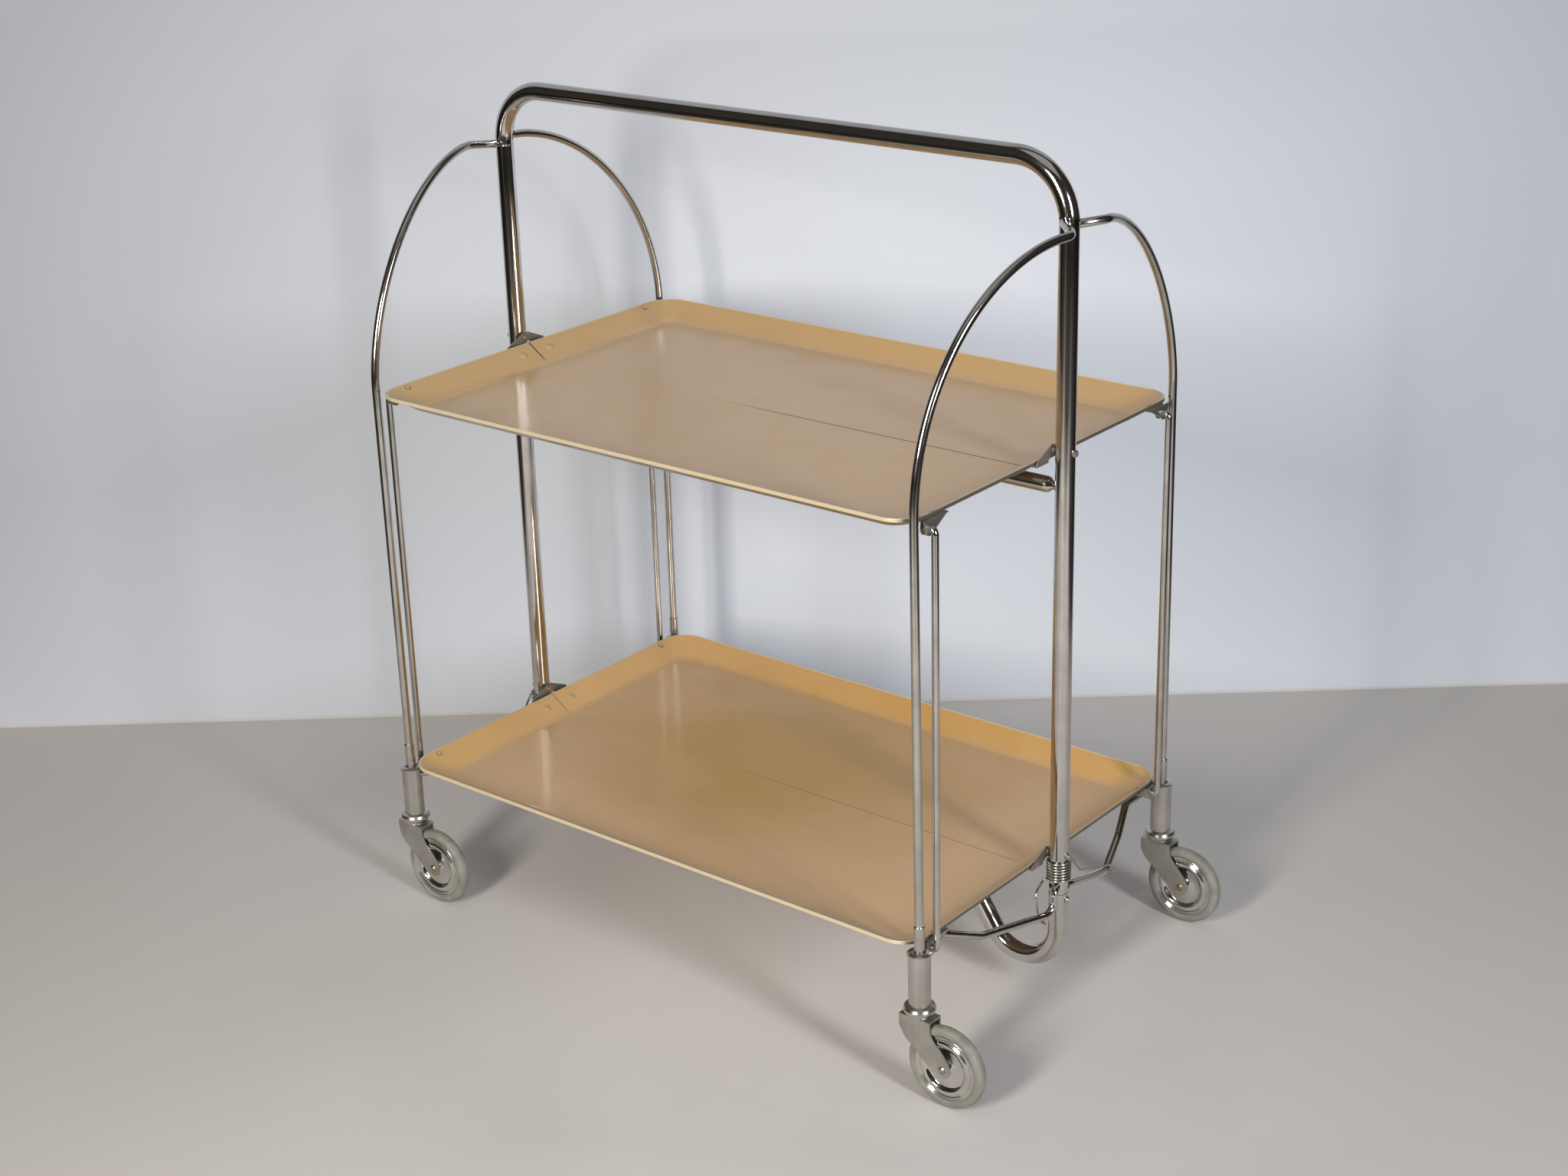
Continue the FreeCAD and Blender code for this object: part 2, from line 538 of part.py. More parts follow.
def make_casters():
    pieces = {"fork": fork(), "axle": axle(), "wheel_disc": wheel_disc(), "tyre": tyre()}
    for end, e in ENDS.items():
        for side, s in SIDES.items():
            for name, shape in pieces.items():
                placed = shape.copy()
                placed.translate(V(e * LEG_X, s * LEG_Y, 0))
                export(name + "_" + side + "_" + end, placed)


os.makedirs("parts", exist_ok=True)
make_leaves()
make_frame()
make_links()
make_gates()
make_springs()
make_casters()
print("done")
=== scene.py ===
# %% [markdown]
# # A folding tea trolley, dressed for a product picture
#
# The rigid frame comes ready-made: every tube, leaf, bracket and caster is a fixed node in
# metres, X along the handle bar, -Y the front, +Z up. This lesson gives the nodes their
# real finishes (nickel plate, baked enamel, grey rubber), rebuilds the pieces whose beauty
# is in small curves, and sets a camera and a soft studio round them.

import math

import bmesh
import bpy
import numpy as np
from mathutils import Matrix, Vector


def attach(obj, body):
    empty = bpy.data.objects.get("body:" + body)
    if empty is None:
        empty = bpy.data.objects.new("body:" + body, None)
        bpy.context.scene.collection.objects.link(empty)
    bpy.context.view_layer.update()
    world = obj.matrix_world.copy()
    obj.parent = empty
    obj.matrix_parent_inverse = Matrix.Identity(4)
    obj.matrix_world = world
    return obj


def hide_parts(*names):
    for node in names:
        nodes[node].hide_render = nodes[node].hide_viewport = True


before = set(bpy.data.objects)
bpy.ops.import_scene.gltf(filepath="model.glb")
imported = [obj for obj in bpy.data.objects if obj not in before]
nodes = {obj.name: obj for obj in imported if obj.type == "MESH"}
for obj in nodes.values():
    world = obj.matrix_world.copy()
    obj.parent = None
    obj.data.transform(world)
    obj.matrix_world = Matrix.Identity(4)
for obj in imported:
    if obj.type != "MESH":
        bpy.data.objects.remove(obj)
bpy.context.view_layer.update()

# %% [markdown]
# ## Names and units
# A trolley is made in millimetres and Blender works in metres, so every shape below is
# written in millimetres about the middle of the hoop and moved once, when its mesh is made.
# Two tiers, two sides and two ends give every repeated node its name. The trailing wheels
# reach out further on one side, so the hoop's middle isn't the middle of the whole part.

# %% Tiers, sides and ends
MM = 0.001
HOOP_BACK = 21.7                               # the hoop's middle lies this far towards -X
TIERS = {"upper": 512.3, "lower": 142.0}       # rim heights
SIDES = {"front": -1, "rear": 1}
ENDS = {"near": 1, "far": -1}
print("leaves:", ", ".join(tier + "_" + side for tier in TIERS for side in SIDES))

# %% [markdown]
# ## Colour
# Finishes are written as the hex codes that a paint card would give. A screen's code isn't
# an amount of light, and the renderer adds and mixes light, so each code is first turned
# into linear light. One function does it for paint, plate and lamps alike.


# %% Hex codes to linear light
def linear(code):
    """sRGB to linear: c / 12.92 where c is at most 0.04045, else ((c + 0.055) / 1.055) to the power 2.4."""
    channels = np.array([int(code[i:i + 2], 16) for i in (1, 3, 5)]) / 255.0
    light = np.where(channels <= 0.04045, channels / 12.92, ((channels + 0.055) / 1.055) ** 2.4)
    return (*light.tolist(), 1.0)


print("half-bright grey #808080 is", round(linear("#808080")[0], 3), "of full light")

# %% [markdown]
# ## Nodes
# A material is a small graph. Shader nodes could be set up by hand in the editor, or by a
# helper for each kind. One helper is enough: it adds any node, sets it up, and puts a value
# or a link into each input. What comes back is an output, ready to go into the next node.
# Patterns read Object coordinates, which are metres on the finished piece, so that a size
# in a pattern is a size on the real thing. In a colour mix, input 0 is the amount, 6 and 7
# are the two colours, and output 2 is the result.

# %% One helper for every node
FINE = 0.55                                    # how much the finer layers of a noise count


def node(tree, kind, inputs=(), out=0, **settings):
    """Adds a node and returns one output. Inputs go by place or name: a value, a hex code or a socket."""
    made = tree.nodes.new("ShaderNode" + kind)
    for name, value in settings.items():
        setattr(made, name, value)
    for key, value in inputs.items() if isinstance(inputs, dict) else enumerate(inputs):
        if isinstance(value, bpy.types.NodeSocket):
            tree.links.new(value, made.inputs[key])
        else:
            made.inputs[key].default_value = linear(value) if isinstance(value, str) else value
    return made.outputs[out]


def start(name, **values):
    """A new material with its Principled values; returns it, its tree and the Object coordinates."""
    material = bpy.data.materials.new(name)
    material.use_nodes = True
    tree = material.node_tree
    for key, value in values.items():
        tree.nodes["Principled BSDF"].inputs[key.replace("_", " ")].default_value = value
    return material, tree, node(tree, "TexCoord", out="Object")


def finish_with(tree, **sockets):
    """Links sockets to the Principled inputs that the names give, with _ for a space."""
    for key, socket in sockets.items():
        tree.links.new(socket, tree.nodes["Principled BSDF"].inputs[key.replace("_", " ")])


trial, trial_tree, _ = start("trial")
print("a new material has", len(trial_tree.nodes), "nodes")
bpy.data.materials.remove(trial)

# %% [markdown]
# ## Nickel plate
# The hoop and the rods are steel with a bright plate. Polish leaves it almost a mirror, so
# it shows the room more than itself: dark along most of a tube, with thin bright lines. It
# could be a plain metal, but a perfect mirror looks new and made by a computer. Here a haze
# of about 26 mm drifts between two tints and two roughnesses. Pits of about 1 mm, where the
# plate has opened, are darker and duller, and they come in patches of about 70 mm.

# %% Plate
HAZE, PATCH = 26.316, 71.429                   # size of the clouds and of the pitted patches, mm


def plate(name, tint, cloud, polished, dull, pits=0.5, pit=1.1111):
    """Metal whose tint and roughness follow a haze; where fine noise peaks, it is pitted."""
    material, tree, place = start(name, Metallic=1.0)
    haze = node(tree, "TexNoise", {"Vector": place, "Scale": 1 / (HAZE * MM), "Detail": 5.0, "Roughness": FINE})
    fine = node(tree, "TexNoise", {"Vector": place, "Scale": 1 / (pit * MM), "Detail": 2.0, "Roughness": FINE})
    area = node(tree, "TexNoise", {"Vector": place, "Scale": 1 / (PATCH * MM), "Detail": 3.0, "Roughness": FINE})
    specks = node(tree, "MapRange", [fine, 0.64, 0.74, 0.0, pits])
    patches = node(tree, "MapRange", [area, 0.42, 0.62, 0.15, 1.0])
    worn = node(tree, "Math", [specks, patches], operation="MULTIPLY")
    cloudy = node(tree, "MapRange", [haze, 0.3, 0.7, 0.0, 1.0])
    clean = node(tree, "Mix", {0: cloudy, 6: tint, 7: cloud}, out=2, data_type="RGBA")
    colour = node(tree, "Mix", {0: worn, 6: clean, 7: "#5E5650"}, out=2, data_type="RGBA")
    smooth = node(tree, "MapRange", [haze, 0.3, 0.7, polished, dull])
    rough = node(tree, "Math", [worn, 0.35, smooth], operation="MULTIPLY_ADD")
    dents = node(tree, "Bump", {"Height": fine, "Distance": 0.01 * MM, "Strength": 0.2})
    finish_with(tree, Base_Color=colour, Roughness=rough, Normal=dents)
    return material


print("haze of", HAZE, "mm and pitted patches of", PATCH, "mm")

# %% [markdown]
# ## Seven metals
# The same recipe gives each metal part its own look. Polished tube is the smoothest. Drawn
# rod is a shade duller. Turned plugs, sockets and pins are satin. Bent brackets and forks
# are zinc, which is grey and soft. Spring wire is warm, and the axles have a brassy cast.

# %% Metal finishes
bright_plate = plate("nickel plate, bright", "#D6D3CE", "#C4C0BA", 0.05, 0.13)
rod_plate = plate("nickel plate, drawn rod", "#D0CDC7", "#BBB7B0", 0.09, 0.20, pits=0.6)
satin_plate = plate("nickel plate, satin", "#CFCCC5", "#B4B0A8", 0.20, 0.34, pits=0.4, pit=0.66667)
zinc = plate("zinc plate, worn", "#C4C2BC", "#A39E94", 0.36, 0.54, pits=0.8, pit=0.76923)
wire = plate("spring wire", "#C9C5BC", "#A8A398", 0.18, 0.32, pits=0.4)
disc_plate = plate("bright pressed disc", "#D9D8D4", "#C4C2BE", 0.07, 0.16, pits=0.35)
brassy_plate = plate("brassy steel, axle", "#B8AE94", "#948A70", 0.30, 0.45, pits=0.5)
metals = bright_plate, rod_plate, satin_plate, zinc, wire, disc_plate, brassy_plate
print("metals:", "; ".join(metal.name for metal in metals))

# %% [markdown]
# ## Where on the tray
# Paint on a tray changes with the distance from its edge: the turned lip, the sloping rim
# and the flat floor each wear in their own way. A painted mask could hold that, but a
# formula is sharper and needs no picture. The tray's edge is a rounded rectangle, and the
# distance to one is known: fold the plan into one quarter, and measure past the corner.

# %% Distance from the tray's edge
HALF_L, HALF_W, CORNER = 298.5, 201.0, 27.0    # half the tray's length and width, corner radius


def folded(tree, place):
    """The plan folded into one quarter about the hoop's middle: |x|, |y| and no height."""
    centred = node(tree, "VectorMath", [place, (HOOP_BACK * MM, 0, 0)], operation="ADD")
    flat = node(tree, "VectorMath", [centred, (1, 1, 0)], operation="MULTIPLY")
    return node(tree, "VectorMath", [flat], operation="ABSOLUTE")


def edge_distance(tree, place):
    """Corner radius less the length of what lies past the inner box, in metres; right near the edge."""
    inner = ((HALF_L - CORNER) * MM, (HALF_W - CORNER) * MM, 0)
    beyond = node(tree, "VectorMath", [folded(tree, place), inner], operation="SUBTRACT")
    past = node(tree, "VectorMath", [beyond, (0, 0, 0)], operation="MAXIMUM")
    length = node(tree, "VectorMath", [past], out="Value", operation="LENGTH")
    return node(tree, "Math", [CORNER * MM, length], operation="SUBTRACT")


print("the tray is", 2 * HALF_L, "by", 2 * HALF_W, "mm")

# %% [markdown]
# ## Baked enamel
# The trays are pressed steel with a sand-beige stove enamel, smooth and half glossy. The
# rims turn lighter and yellower towards the far rear corner. Decades of tea and polish have
# yellowed the floors in wide blots, and the lower tray in one large stain. Colour is built
# up from the floor's beige: rim, far rim, blots, stain.

# %% Enamel, fresh and yellowed
BLOT, RAGGED = 200.0, 111.11                   # size of the blots and of the stain's ragged edge, mm
STAIN = (-70.0 * MM, 45.0 * MM, 0)             # middle of the lower tray's stain


def aged_paint(tree, place, edge, colours, blots, stain):
    """Mixes rim to far rim along y - 0.6 x, rim to floor by edge distance, then blots and stain."""
    floor, rim, far_rim, yellowed = colours
    x, y, _ = node(tree, "SeparateXYZ", [place]).node.outputs
    # The rims are painted lighter and yellower towards the far rear corner.
    corner = node(tree, "Math", [x, -0.6, y], operation="MULTIPLY_ADD")
    towards_far_corner = node(tree, "MapRange", [corner, -0.10, 0.16, 0.0, 1.0])
    wall = node(tree, "Mix", {0: towards_far_corner, 6: rim, 7: far_rim}, out=2, data_type="RGBA")
    inside = node(tree, "MapRange", [edge, 21 * MM, 28 * MM, 0.0, 1.0])
    shade = node(tree, "Mix", {0: inside, 6: wall, 7: floor}, out=2, data_type="RGBA")
    cloud = node(tree, "TexNoise", {"Vector": place, "Scale": 1 / (BLOT * MM), "Detail": 4.0, "Roughness": FINE})
    blot = node(tree, "MapRange", [cloud, 0.40, 0.66, 0.0, blots])
    inward = node(tree, "Math", [x, -0.35, y], operation="MULTIPLY_ADD")
    middle = node(tree, "MapRange", [inward, -0.20, 0.10, 0.25, 1.0])
    yellow = node(tree, "Math", [blot, middle], operation="MULTIPLY")
    shade = node(tree, "Mix", {0: yellow, 6: shade, 7: yellowed}, out=2, data_type="RGBA")
    spot = node(tree, "VectorMath", [place, STAIN], operation="SUBTRACT")
    oval = node(tree, "VectorMath", [spot, (1, 1.3, 0)], operation="MULTIPLY")
    reach = node(tree, "VectorMath", [oval], out="Value", operation="LENGTH")
    tear = node(tree, "TexNoise", {"Vector": place, "Scale": 1 / (RAGGED * MM), "Detail": 5.0, "Roughness": FINE})
    shift = node(tree, "MapRange", [tear, 0.3, 0.7, -50 * MM, 50 * MM])
    ragged = node(tree, "Math", [reach, shift], operation="ADD")
    soaked = node(tree, "MapRange", [ragged, 90 * MM, 260 * MM, stain, 0.0])
    return node(tree, "Mix", {0: soaked, 6: shade, 7: "#B38B45"}, out=2, data_type="RGBA")


print("blots of", BLOT, "mm and a stain about", STAIN)

# %% [markdown]
# ## Wear on the enamel
# The underside is painted a darker brown, as painted shade. The lip has a painted highlight
# in pale cream, and is worn to bare steel at the ends, where hands lift the leaves. Painted
# shade darkens the split between the leaves. Each is one more layer over the colour, in that order.

# %% Lip, underside and split
LIP_END, SPLIT_SHADE_END = (1.3, 1.8), (0.7, 1.0)     # mm from the edge and from the split, from full to none


def worn_and_shaded_paint(tree, place, edge, shade, split_shade):
    """Layers by the normal (painted shade underneath), by edge distance (painted lip highlight) and by |y| (painted
    shade in the split), over the shade.
    """
    x, y, _ = node(tree, "SeparateXYZ", [place]).node.outputs
    geometry = node(tree, "NewGeometry", out="Normal")
    facing_x, _, facing_z = node(tree, "SeparateXYZ", [geometry]).node.outputs
    # Painted shade: faces that look down are painted a darker brown.
    under = node(tree, "MapRange", [facing_z, -0.35, -0.15, 1.0, 0.0])
    shade = node(tree, "Mix", {0: under, 6: shade, 7: "#7C6346"}, out=2, data_type="RGBA")
    # Painted highlight: the outer 1.3 to 1.8 mm of the lip are painted pale cream.
    lip = node(tree, "MapRange", [edge, LIP_END[0] * MM, LIP_END[1] * MM, 1.0, 0.0])
    shade = node(tree, "Mix", {0: lip, 6: shade, 7: "#C9B898"}, out=2, data_type="RGBA")
    endways = node(tree, "Math", [facing_x], operation="ABSOLUTE")
    rubbed = node(tree, "MapRange", [endways, 0.45, 0.7, 0.0, 1.0])
    bare = node(tree, "Math", [lip, rubbed], operation="MULTIPLY")
    shade = node(tree, "Mix", {0: bare, 6: shade, 7: "#5B564B"}, out=2, data_type="RGBA")
    # Painted shade: a dark line along the split between the leaves, over the near floor and at the far end.
    fades = node(tree, "MapRange", [x, -80 * MM, 0.0, 0.0, 1.0])
    ends = node(tree, "MapRange", [x, 244 * MM, 250 * MM, 1.0, 0.0])
    near = node(tree, "Math", [fades, ends], operation="MULTIPLY")
    far = node(tree, "MapRange", [x, -302 * MM, -296 * MM, 1.0, 0.0])
    shaded_stretch = node(tree, "Math", [near, far], operation="MAXIMUM")
    off_split = node(tree, "Math", [y], operation="ABSOLUTE")
    line = node(tree, "MapRange", [off_split, SPLIT_SHADE_END[0] * MM, SPLIT_SHADE_END[1] * MM, split_shade, 0.0])
    split = node(tree, "Math", [shaded_stretch, line], operation="MULTIPLY")
    return node(tree, "Mix", {0: split, 6: shade, 7: "#3B2C1C"}, out=2, data_type="RGBA")


# The lip's pale cream band is a painted highlight.
print("the lip is rubbed over its outer", LIP_END[0], "to", LIP_END[1], "mm")

# %% [markdown]
# ## The enamel's gloss
# Stove enamel flows out before it is baked. That leaves a clear skin with long, very low
# waves of about 6 mm, and a gloss that wear has made uneven over about 40 mm. A thin coat
# over a rougher base gives both: a soft sheen with sharper reflections inside it.

# %% Two enamels
SHEEN, WAVE = 41.667, 6.25                     # size of the uneven gloss and of the waves, mm


def enamel(name, colours, blots, split_shade, stain):
    """Colour with blots, stain, wear, painted shade and a painted highlight, under a thin clear coat, with a noise on
    roughness and a faint wave.
    """
    material, tree, place = start(name, Coat_Weight=0.3, Coat_Roughness=0.14)
    edge = edge_distance(tree, place)
    shade = worn_and_shaded_paint(tree, place, edge, aged_paint(tree, place, edge, colours, blots, stain), split_shade)
    sheen = node(tree, "TexNoise", {"Vector": place, "Scale": 1 / (SHEEN * MM), "Detail": 6.0, "Roughness": FINE})
    rough = node(tree, "MapRange", [sheen, 0.3, 0.7, 0.28, 0.40])
    wave = node(tree, "TexNoise", {"Vector": place, "Scale": 1 / (WAVE * MM), "Detail": 2.0, "Roughness": FINE})
    skin = node(tree, "Bump", {"Height": wave, "Distance": 0.04 * MM, "Strength": 0.15})
    finish_with(tree, Base_Color=shade, Roughness=rough, Normal=skin)
    return material


# Of the colours, the third is the rims' lighter, yellower tone towards the far rear corner; of the amounts, the
# middle one is painted shade along the split.
ENAMEL = {   # floor, rim, aged rim and yellowed floor; then the amounts of blots, grime and stain
    "upper": enamel("baked enamel, upper tray", ("#C19F75", "#B39670", "#B99764", "#B8945F"), 0.35, 0.9, 0.0),
    "lower": enamel("baked enamel, lower tray", ("#C29D70", "#BE9C66", "#C9A066", "#BC9256"), 0.6, 0.3, 1.0),
}
print("enamel nodes:", len(ENAMEL["lower"].node_tree.nodes))

# %% [markdown]
# ## Paint on the rivets
# The rivets went in before the enamel, so their heads wear the tray's colour. Round the four
# corner heads a thin dark ring of painted shade marks where the head meets the slope. It is
# drawn by the distance from a head's middle, in the folded plan, so that one formula serves all four corners.

# %% Enamel over rivets
CORNER_INSET, CORNER_Y = 4.9, 163.0            # corner rivets, from the tray's end and its middle line


def riveted_paint():
    """Beige, with a ring of painted shade where the distance from the corner head is past 1.8 to 2.7 mm and under 5
    to 6 mm.
    """
    material, tree, place = start("enamel over rivets", Roughness=0.35)
    head = ((HALF_L - CORNER_INSET) * MM, CORNER_Y * MM, 0)
    off = node(tree, "VectorMath", [folded(tree, place), head], operation="SUBTRACT")
    reach = node(tree, "VectorMath", [off], out="Value", operation="LENGTH")
    # Painted shade: a dark ring round each corner head, where the head meets the slope.
    outer = node(tree, "MapRange", [reach, 1.8 * MM, 2.7 * MM, 0.0, 0.9])
    within = node(tree, "MapRange", [reach, 5 * MM, 6 * MM, 1.0, 0.0])
    ring_shade = node(tree, "Math", [outer, within], operation="MULTIPLY")
    colour = node(tree, "Mix", {0: ring_shade, 6: "#B59770", 7: "#4E3E2A"}, out=2, data_type="RGBA")
    finish_with(tree, Base_Color=colour)
    return material


rivet_paint = riveted_paint()
print(rivet_paint.name, "has", len(rivet_paint.node_tree.nodes), "nodes")

# %% [markdown]
# ## Grey rubber
# Caster tyres of this age are grey rubber, moulded, then ground and dulled by floors. It is
# matt, with no colour of its own to speak of. Dust lies on it in clouds of about 17 mm, and
# the ground surface has a grain under 1 mm.

# %% Rubber
DUST, RUB, GRAIN = 16.667, 5.0, 0.66667         # size of the dust, of rubbed spots and of the grain, mm


def rubber():
    """Two greys by a dust noise, an uneven roughness and a fine grain."""
    material, tree, place = start("grey rubber")
    cloud = node(tree, "TexNoise", {"Vector": place, "Scale": 1 / (DUST * MM), "Detail": 5.0, "Roughness": FINE})
    dust = node(tree, "MapRange", [cloud, 0.35, 0.7, 0.0, 1.0])
    colour = node(tree, "Mix", {0: dust, 6: "#8A8A7E", 7: "#6E6E63"}, out=2, data_type="RGBA")
    rub = node(tree, "TexNoise", {"Vector": place, "Scale": 1 / (RUB * MM), "Detail": 3.0, "Roughness": FINE})
    rough = node(tree, "MapRange", [rub, 0.3, 0.7, 0.5, 0.7])
    grain = node(tree, "TexNoise", {"Vector": place, "Scale": 1 / (GRAIN * MM), "Detail": 2.0, "Roughness": FINE})
    ground = node(tree, "Bump", {"Height": grain, "Distance": 0.03 * MM, "Strength": 0.4})
    finish_with(tree, Base_Color=colour, Roughness=rough, Normal=ground)
    return material


grey_rubber = rubber()
print(grey_rubber.name, "has", len(grey_rubber.node_tree.nodes), "nodes")

# %% [markdown]
# ## Finishes onto nodes
# The frame's nodes carry empty slots. A table from the start of a node's name to its finish
# keeps this short, and the longest start that fits wins. Even a node that a finer piece
# replaces further down is dressed here, so nothing is ever left plain.

# %% Dress the frame
FINISHES = {
    "handle_frame": bright_plate, "foot_tube": bright_plate, "stretcher": rod_plate, "pivot_plugs": satin_plate,
    "foot_rivets": satin_plate, "hinge_pins": satin_plate, "spring": wire, "leaf_upper": ENAMEL["upper"],
    "leaf_lower": ENAMEL["lower"], "hinge_brackets": zinc, "corner_brackets": zinc, "rivets": satin_plate,
    "link_rod": rod_plate, "leg": rod_plate, "stay": rod_plate, "socket": satin_plate, "fork": zinc,
    "axle": brassy_plate, "wheel_disc": disc_plate, "tyre": grey_rubber,
}

for name, thing in nodes.items():
    start_of_name = max((key for key in FINISHES if name.startswith(key)), key=len)
    for slot in thing.material_slots:
        slot.material = FINISHES[start_of_name]
print("dressed", len(nodes), "nodes with", len(set(FINISHES.values())), "finishes")

# %% [markdown]
# ## From a grid to a piece
# Every new piece is a grid of points: rows along it and columns round it. The grid's quads
# follow from its size alone. Grids that close on themselves have a doubled row or a ring
# shrunk to a pole, so close points are merged, and then all faces are turned outwards.


# %% Quads and pieces
def grid_faces(rows, columns, closed=True):
    """Each quad joins a point, the next one in its row, and the same two in the next row."""
    row, column = np.meshgrid(np.arange(rows - 1), np.arange(columns - (not closed)), indexing="ij")
    after = (column + 1) % columns
    this_row, next_row = row * columns, (row + 1) * columns
    corners = [this_row + column, this_row + after, next_row + after, next_row + column]
    return np.stack(corners, axis=-1).reshape(-1, 4).tolist()


def add(name, points, faces, finish, body, stands_for, slot, smooth_below=40.0):
    """An object in the part's frame from points in mm about the hoop's middle; it rides its body."""
    mesh = bpy.data.meshes.new(name)
    mesh.from_pydata(((np.array(points) - (HOOP_BACK, 0, 0)) * MM).tolist(), [], faces)
    work = bmesh.new()
    work.from_mesh(mesh)
    bmesh.ops.remove_doubles(work, verts=work.verts, dist=0.001 * MM)
    bmesh.ops.recalc_face_normals(work, faces=work.faces)
    work.to_mesh(mesh)
    work.free()
    mesh.shade_smooth()
    mesh.set_sharp_from_angle(angle=math.radians(smooth_below))
    mesh.materials.append(finish)
    piece = bpy.data.objects.new(name, mesh)
    bpy.context.collection.objects.link(piece)
    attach(piece, body)
    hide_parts(*stands_for)
    return piece


print("a 3 by 4 closed grid has", len(grid_faces(3, 4)), "quads")

# %% [markdown]
# ## Rounded outlines and turned parts
# Drawn and pressed metal has no sharp corners, so an outline's corners are eased with small
# curves first. A turned part is then its outline carried round an axle. A Spin modifier
# would do that too, but the formula is one line and puts the part where it belongs.


# %% Soften and lathe
def soften(outline, radius, steps=3):
    """Each inner corner becomes a quadratic curve between points `radius` away, or 0.45 of a short side."""
    points = np.array(outline, float)
    corner = points[1:-1, None]
    before, after = points[:-2, None] - corner, points[2:, None] - corner
    sides = np.linalg.norm(before, axis=-1, keepdims=True), np.linalg.norm(after, axis=-1, keepdims=True)
    size = np.minimum(radius, np.minimum(*sides) * 0.45)
    first, last = corner + before / sides[0] * size, corner + after / sides[1] * size
    t = np.linspace(0, 1, steps + 1)[:, None]
    curves = (1 - t) ** 2 * first + 2 * t * (1 - t) * corner + t ** 2 * last
    return np.vstack([points[:1], curves.reshape(-1, points.shape[1]), points[-1:]])


def lathe(outline, centre, axis, around=64):
    """Point = centre + radius (x cos a + y sin a) + height z, for each outline point and each angle a."""
    z = Vector(axis).normalized()
    x = z.orthogonal().normalized()
    axes = np.array([x, z.cross(x), z])
    radius, height = np.array(outline, float).T[:, :, None]
    angle = np.arange(around) * 2 * math.pi / around
    local = np.stack([radius * np.cos(angle), radius * np.sin(angle), height + 0 * angle], axis=-1)
    return (local @ axes + np.array(centre)).reshape(-1, 3), grid_faces(len(outline), around)


print("a softened right angle has", len(soften([(0, 0), (9, 0), (9, 9)], 3)), "points")

# %% [markdown]
# ## Bent bar
# Legs and springs are round bar, so a circle is carried along a line. A curve with a bevel
# would do it as well, but here the bar's thickness may change along its length. The circle
# mustn't spin as it goes: a direction square to the bar is carried from each station to the
# next, and only leaned as much as the line turns.


# %% Tube
def carried(tangents):
    """A direction square to each tangent: the last one less its part along the new tangent, made unit."""
    sides = [np.array(Vector(tangents[0]).orthogonal().normalized())]
    for tangent in tangents[1:]:
        leaned = sides[-1] - tangent * sides[-1].dot(tangent)
        sides.append(leaned / np.linalg.norm(leaned))
    return np.array(sides)


def tube(line, radius, around=14):
    """Point = station + radius (side cos a + other sin a), with side and other square to the line."""
    line = np.array(line, float)
    tangents = np.gradient(line, axis=0)
    tangents /= np.linalg.norm(tangents, axis=1, keepdims=True)
    side = carried(tangents)
    other = np.cross(tangents, side)
    angle = np.arange(around)[:, None] * 2 * math.pi / around
    ring = np.cos(angle) * side[:, None] + np.sin(angle) * other[:, None]
    points = line[:, None] + np.broadcast_to(radius, len(line))[:, None, None] * ring
    last = (len(line) - 1) * around
    caps = [list(range(around)), list(range(last, last + around))]
    return points.reshape(-1, 3), grid_faces(len(line), around) + caps


def together(*surfaces):
    """Several (points, faces) pairs as one, each pair's faces counted on from the points before it."""
    points, faces = np.zeros((0, 3)), []
    for more, quads in surfaces:
        faces += [[corner + len(points) for corner in quad] for quad in quads]
        points = np.vstack([points, more])
    return points, faces


print("a straight tube of 2 stations has", len(tube([(0, 0, 0), (0, 0, 9)], 1.0)[1]), "faces")

# %% [markdown]
# ## The pressed leaf's section
# Each leaf is pressed from one sheet. From the edge inward it has a small rolled lip, a
# straight slope, a soft crease and the flat floor. The upper and the lower face share this
# shape one sheet apart, so a section takes its own lip and the height of its face.

# %% Section of a leaf
DEPTH, SHEET, RUN, CREASE = 15.4, 1.3, 24.5, 5.0   # floor below the rim, sheet, rim's run, crease
SLOPE = (DEPTH + SHEET) / RUN
UPPER_LIP = [(0.0, -2.3), (0.0, 0.25), (0.18, 0.62), (0.6, 0.8), (1.0, 0.68), (1.35, 0.3), (2.0, 0.06),
             (3.4, SHEET - 3.4 * SLOPE)]
LOWER_LIP = [(0.0, -2.3), (0.25, -2.5), (0.95, -2.5), (1.2, -2.3), (1.2, -0.85), (1.7, -1.16)]


def section(lip, lift):
    """(inset, height): the lip, then height = lift - inset * slope, a quadratic crease, and the floor."""
    slope = RUN * np.array([0.25, 0.5, 0.66])
    wall = np.column_stack([slope, lift - slope * SLOPE])
    floor = lift - DEPTH - SHEET
    start, end = np.array([RUN - CREASE, lift - (RUN - CREASE) * SLOPE]), np.array([RUN + CREASE, floor])
    t = np.linspace(0, 1, 9)[:, None]
    crease = (1 - t) ** 2 * start + 2 * t * (1 - t) * np.array([RUN, floor]) + t ** 2 * end
    return np.vstack([lip, wall, crease, [(RUN + CREASE + 3, floor)]])


SECTIONS = [section(UPPER_LIP, SHEET), section(LOWER_LIP, 0.0)]
print("section points, upper and lower face:", len(SECTIONS[0]), len(SECTIONS[1]))

# %% [markdown]
# ## The section round the tray
# The section follows the tray's rounded rectangle from the split at the near end to the
# split at the far end. Going inward the corners tighten, from 27 mm at the edge to 19 mm at
# the crease, as they do in a pressing tool. The leaf is a grid: inset by place along the edge.

# %% Grid of a leaf
SPLIT, TIGHTEN = 0.2, 8.0                      # half the gap between leaves; corner radius lost over the rim


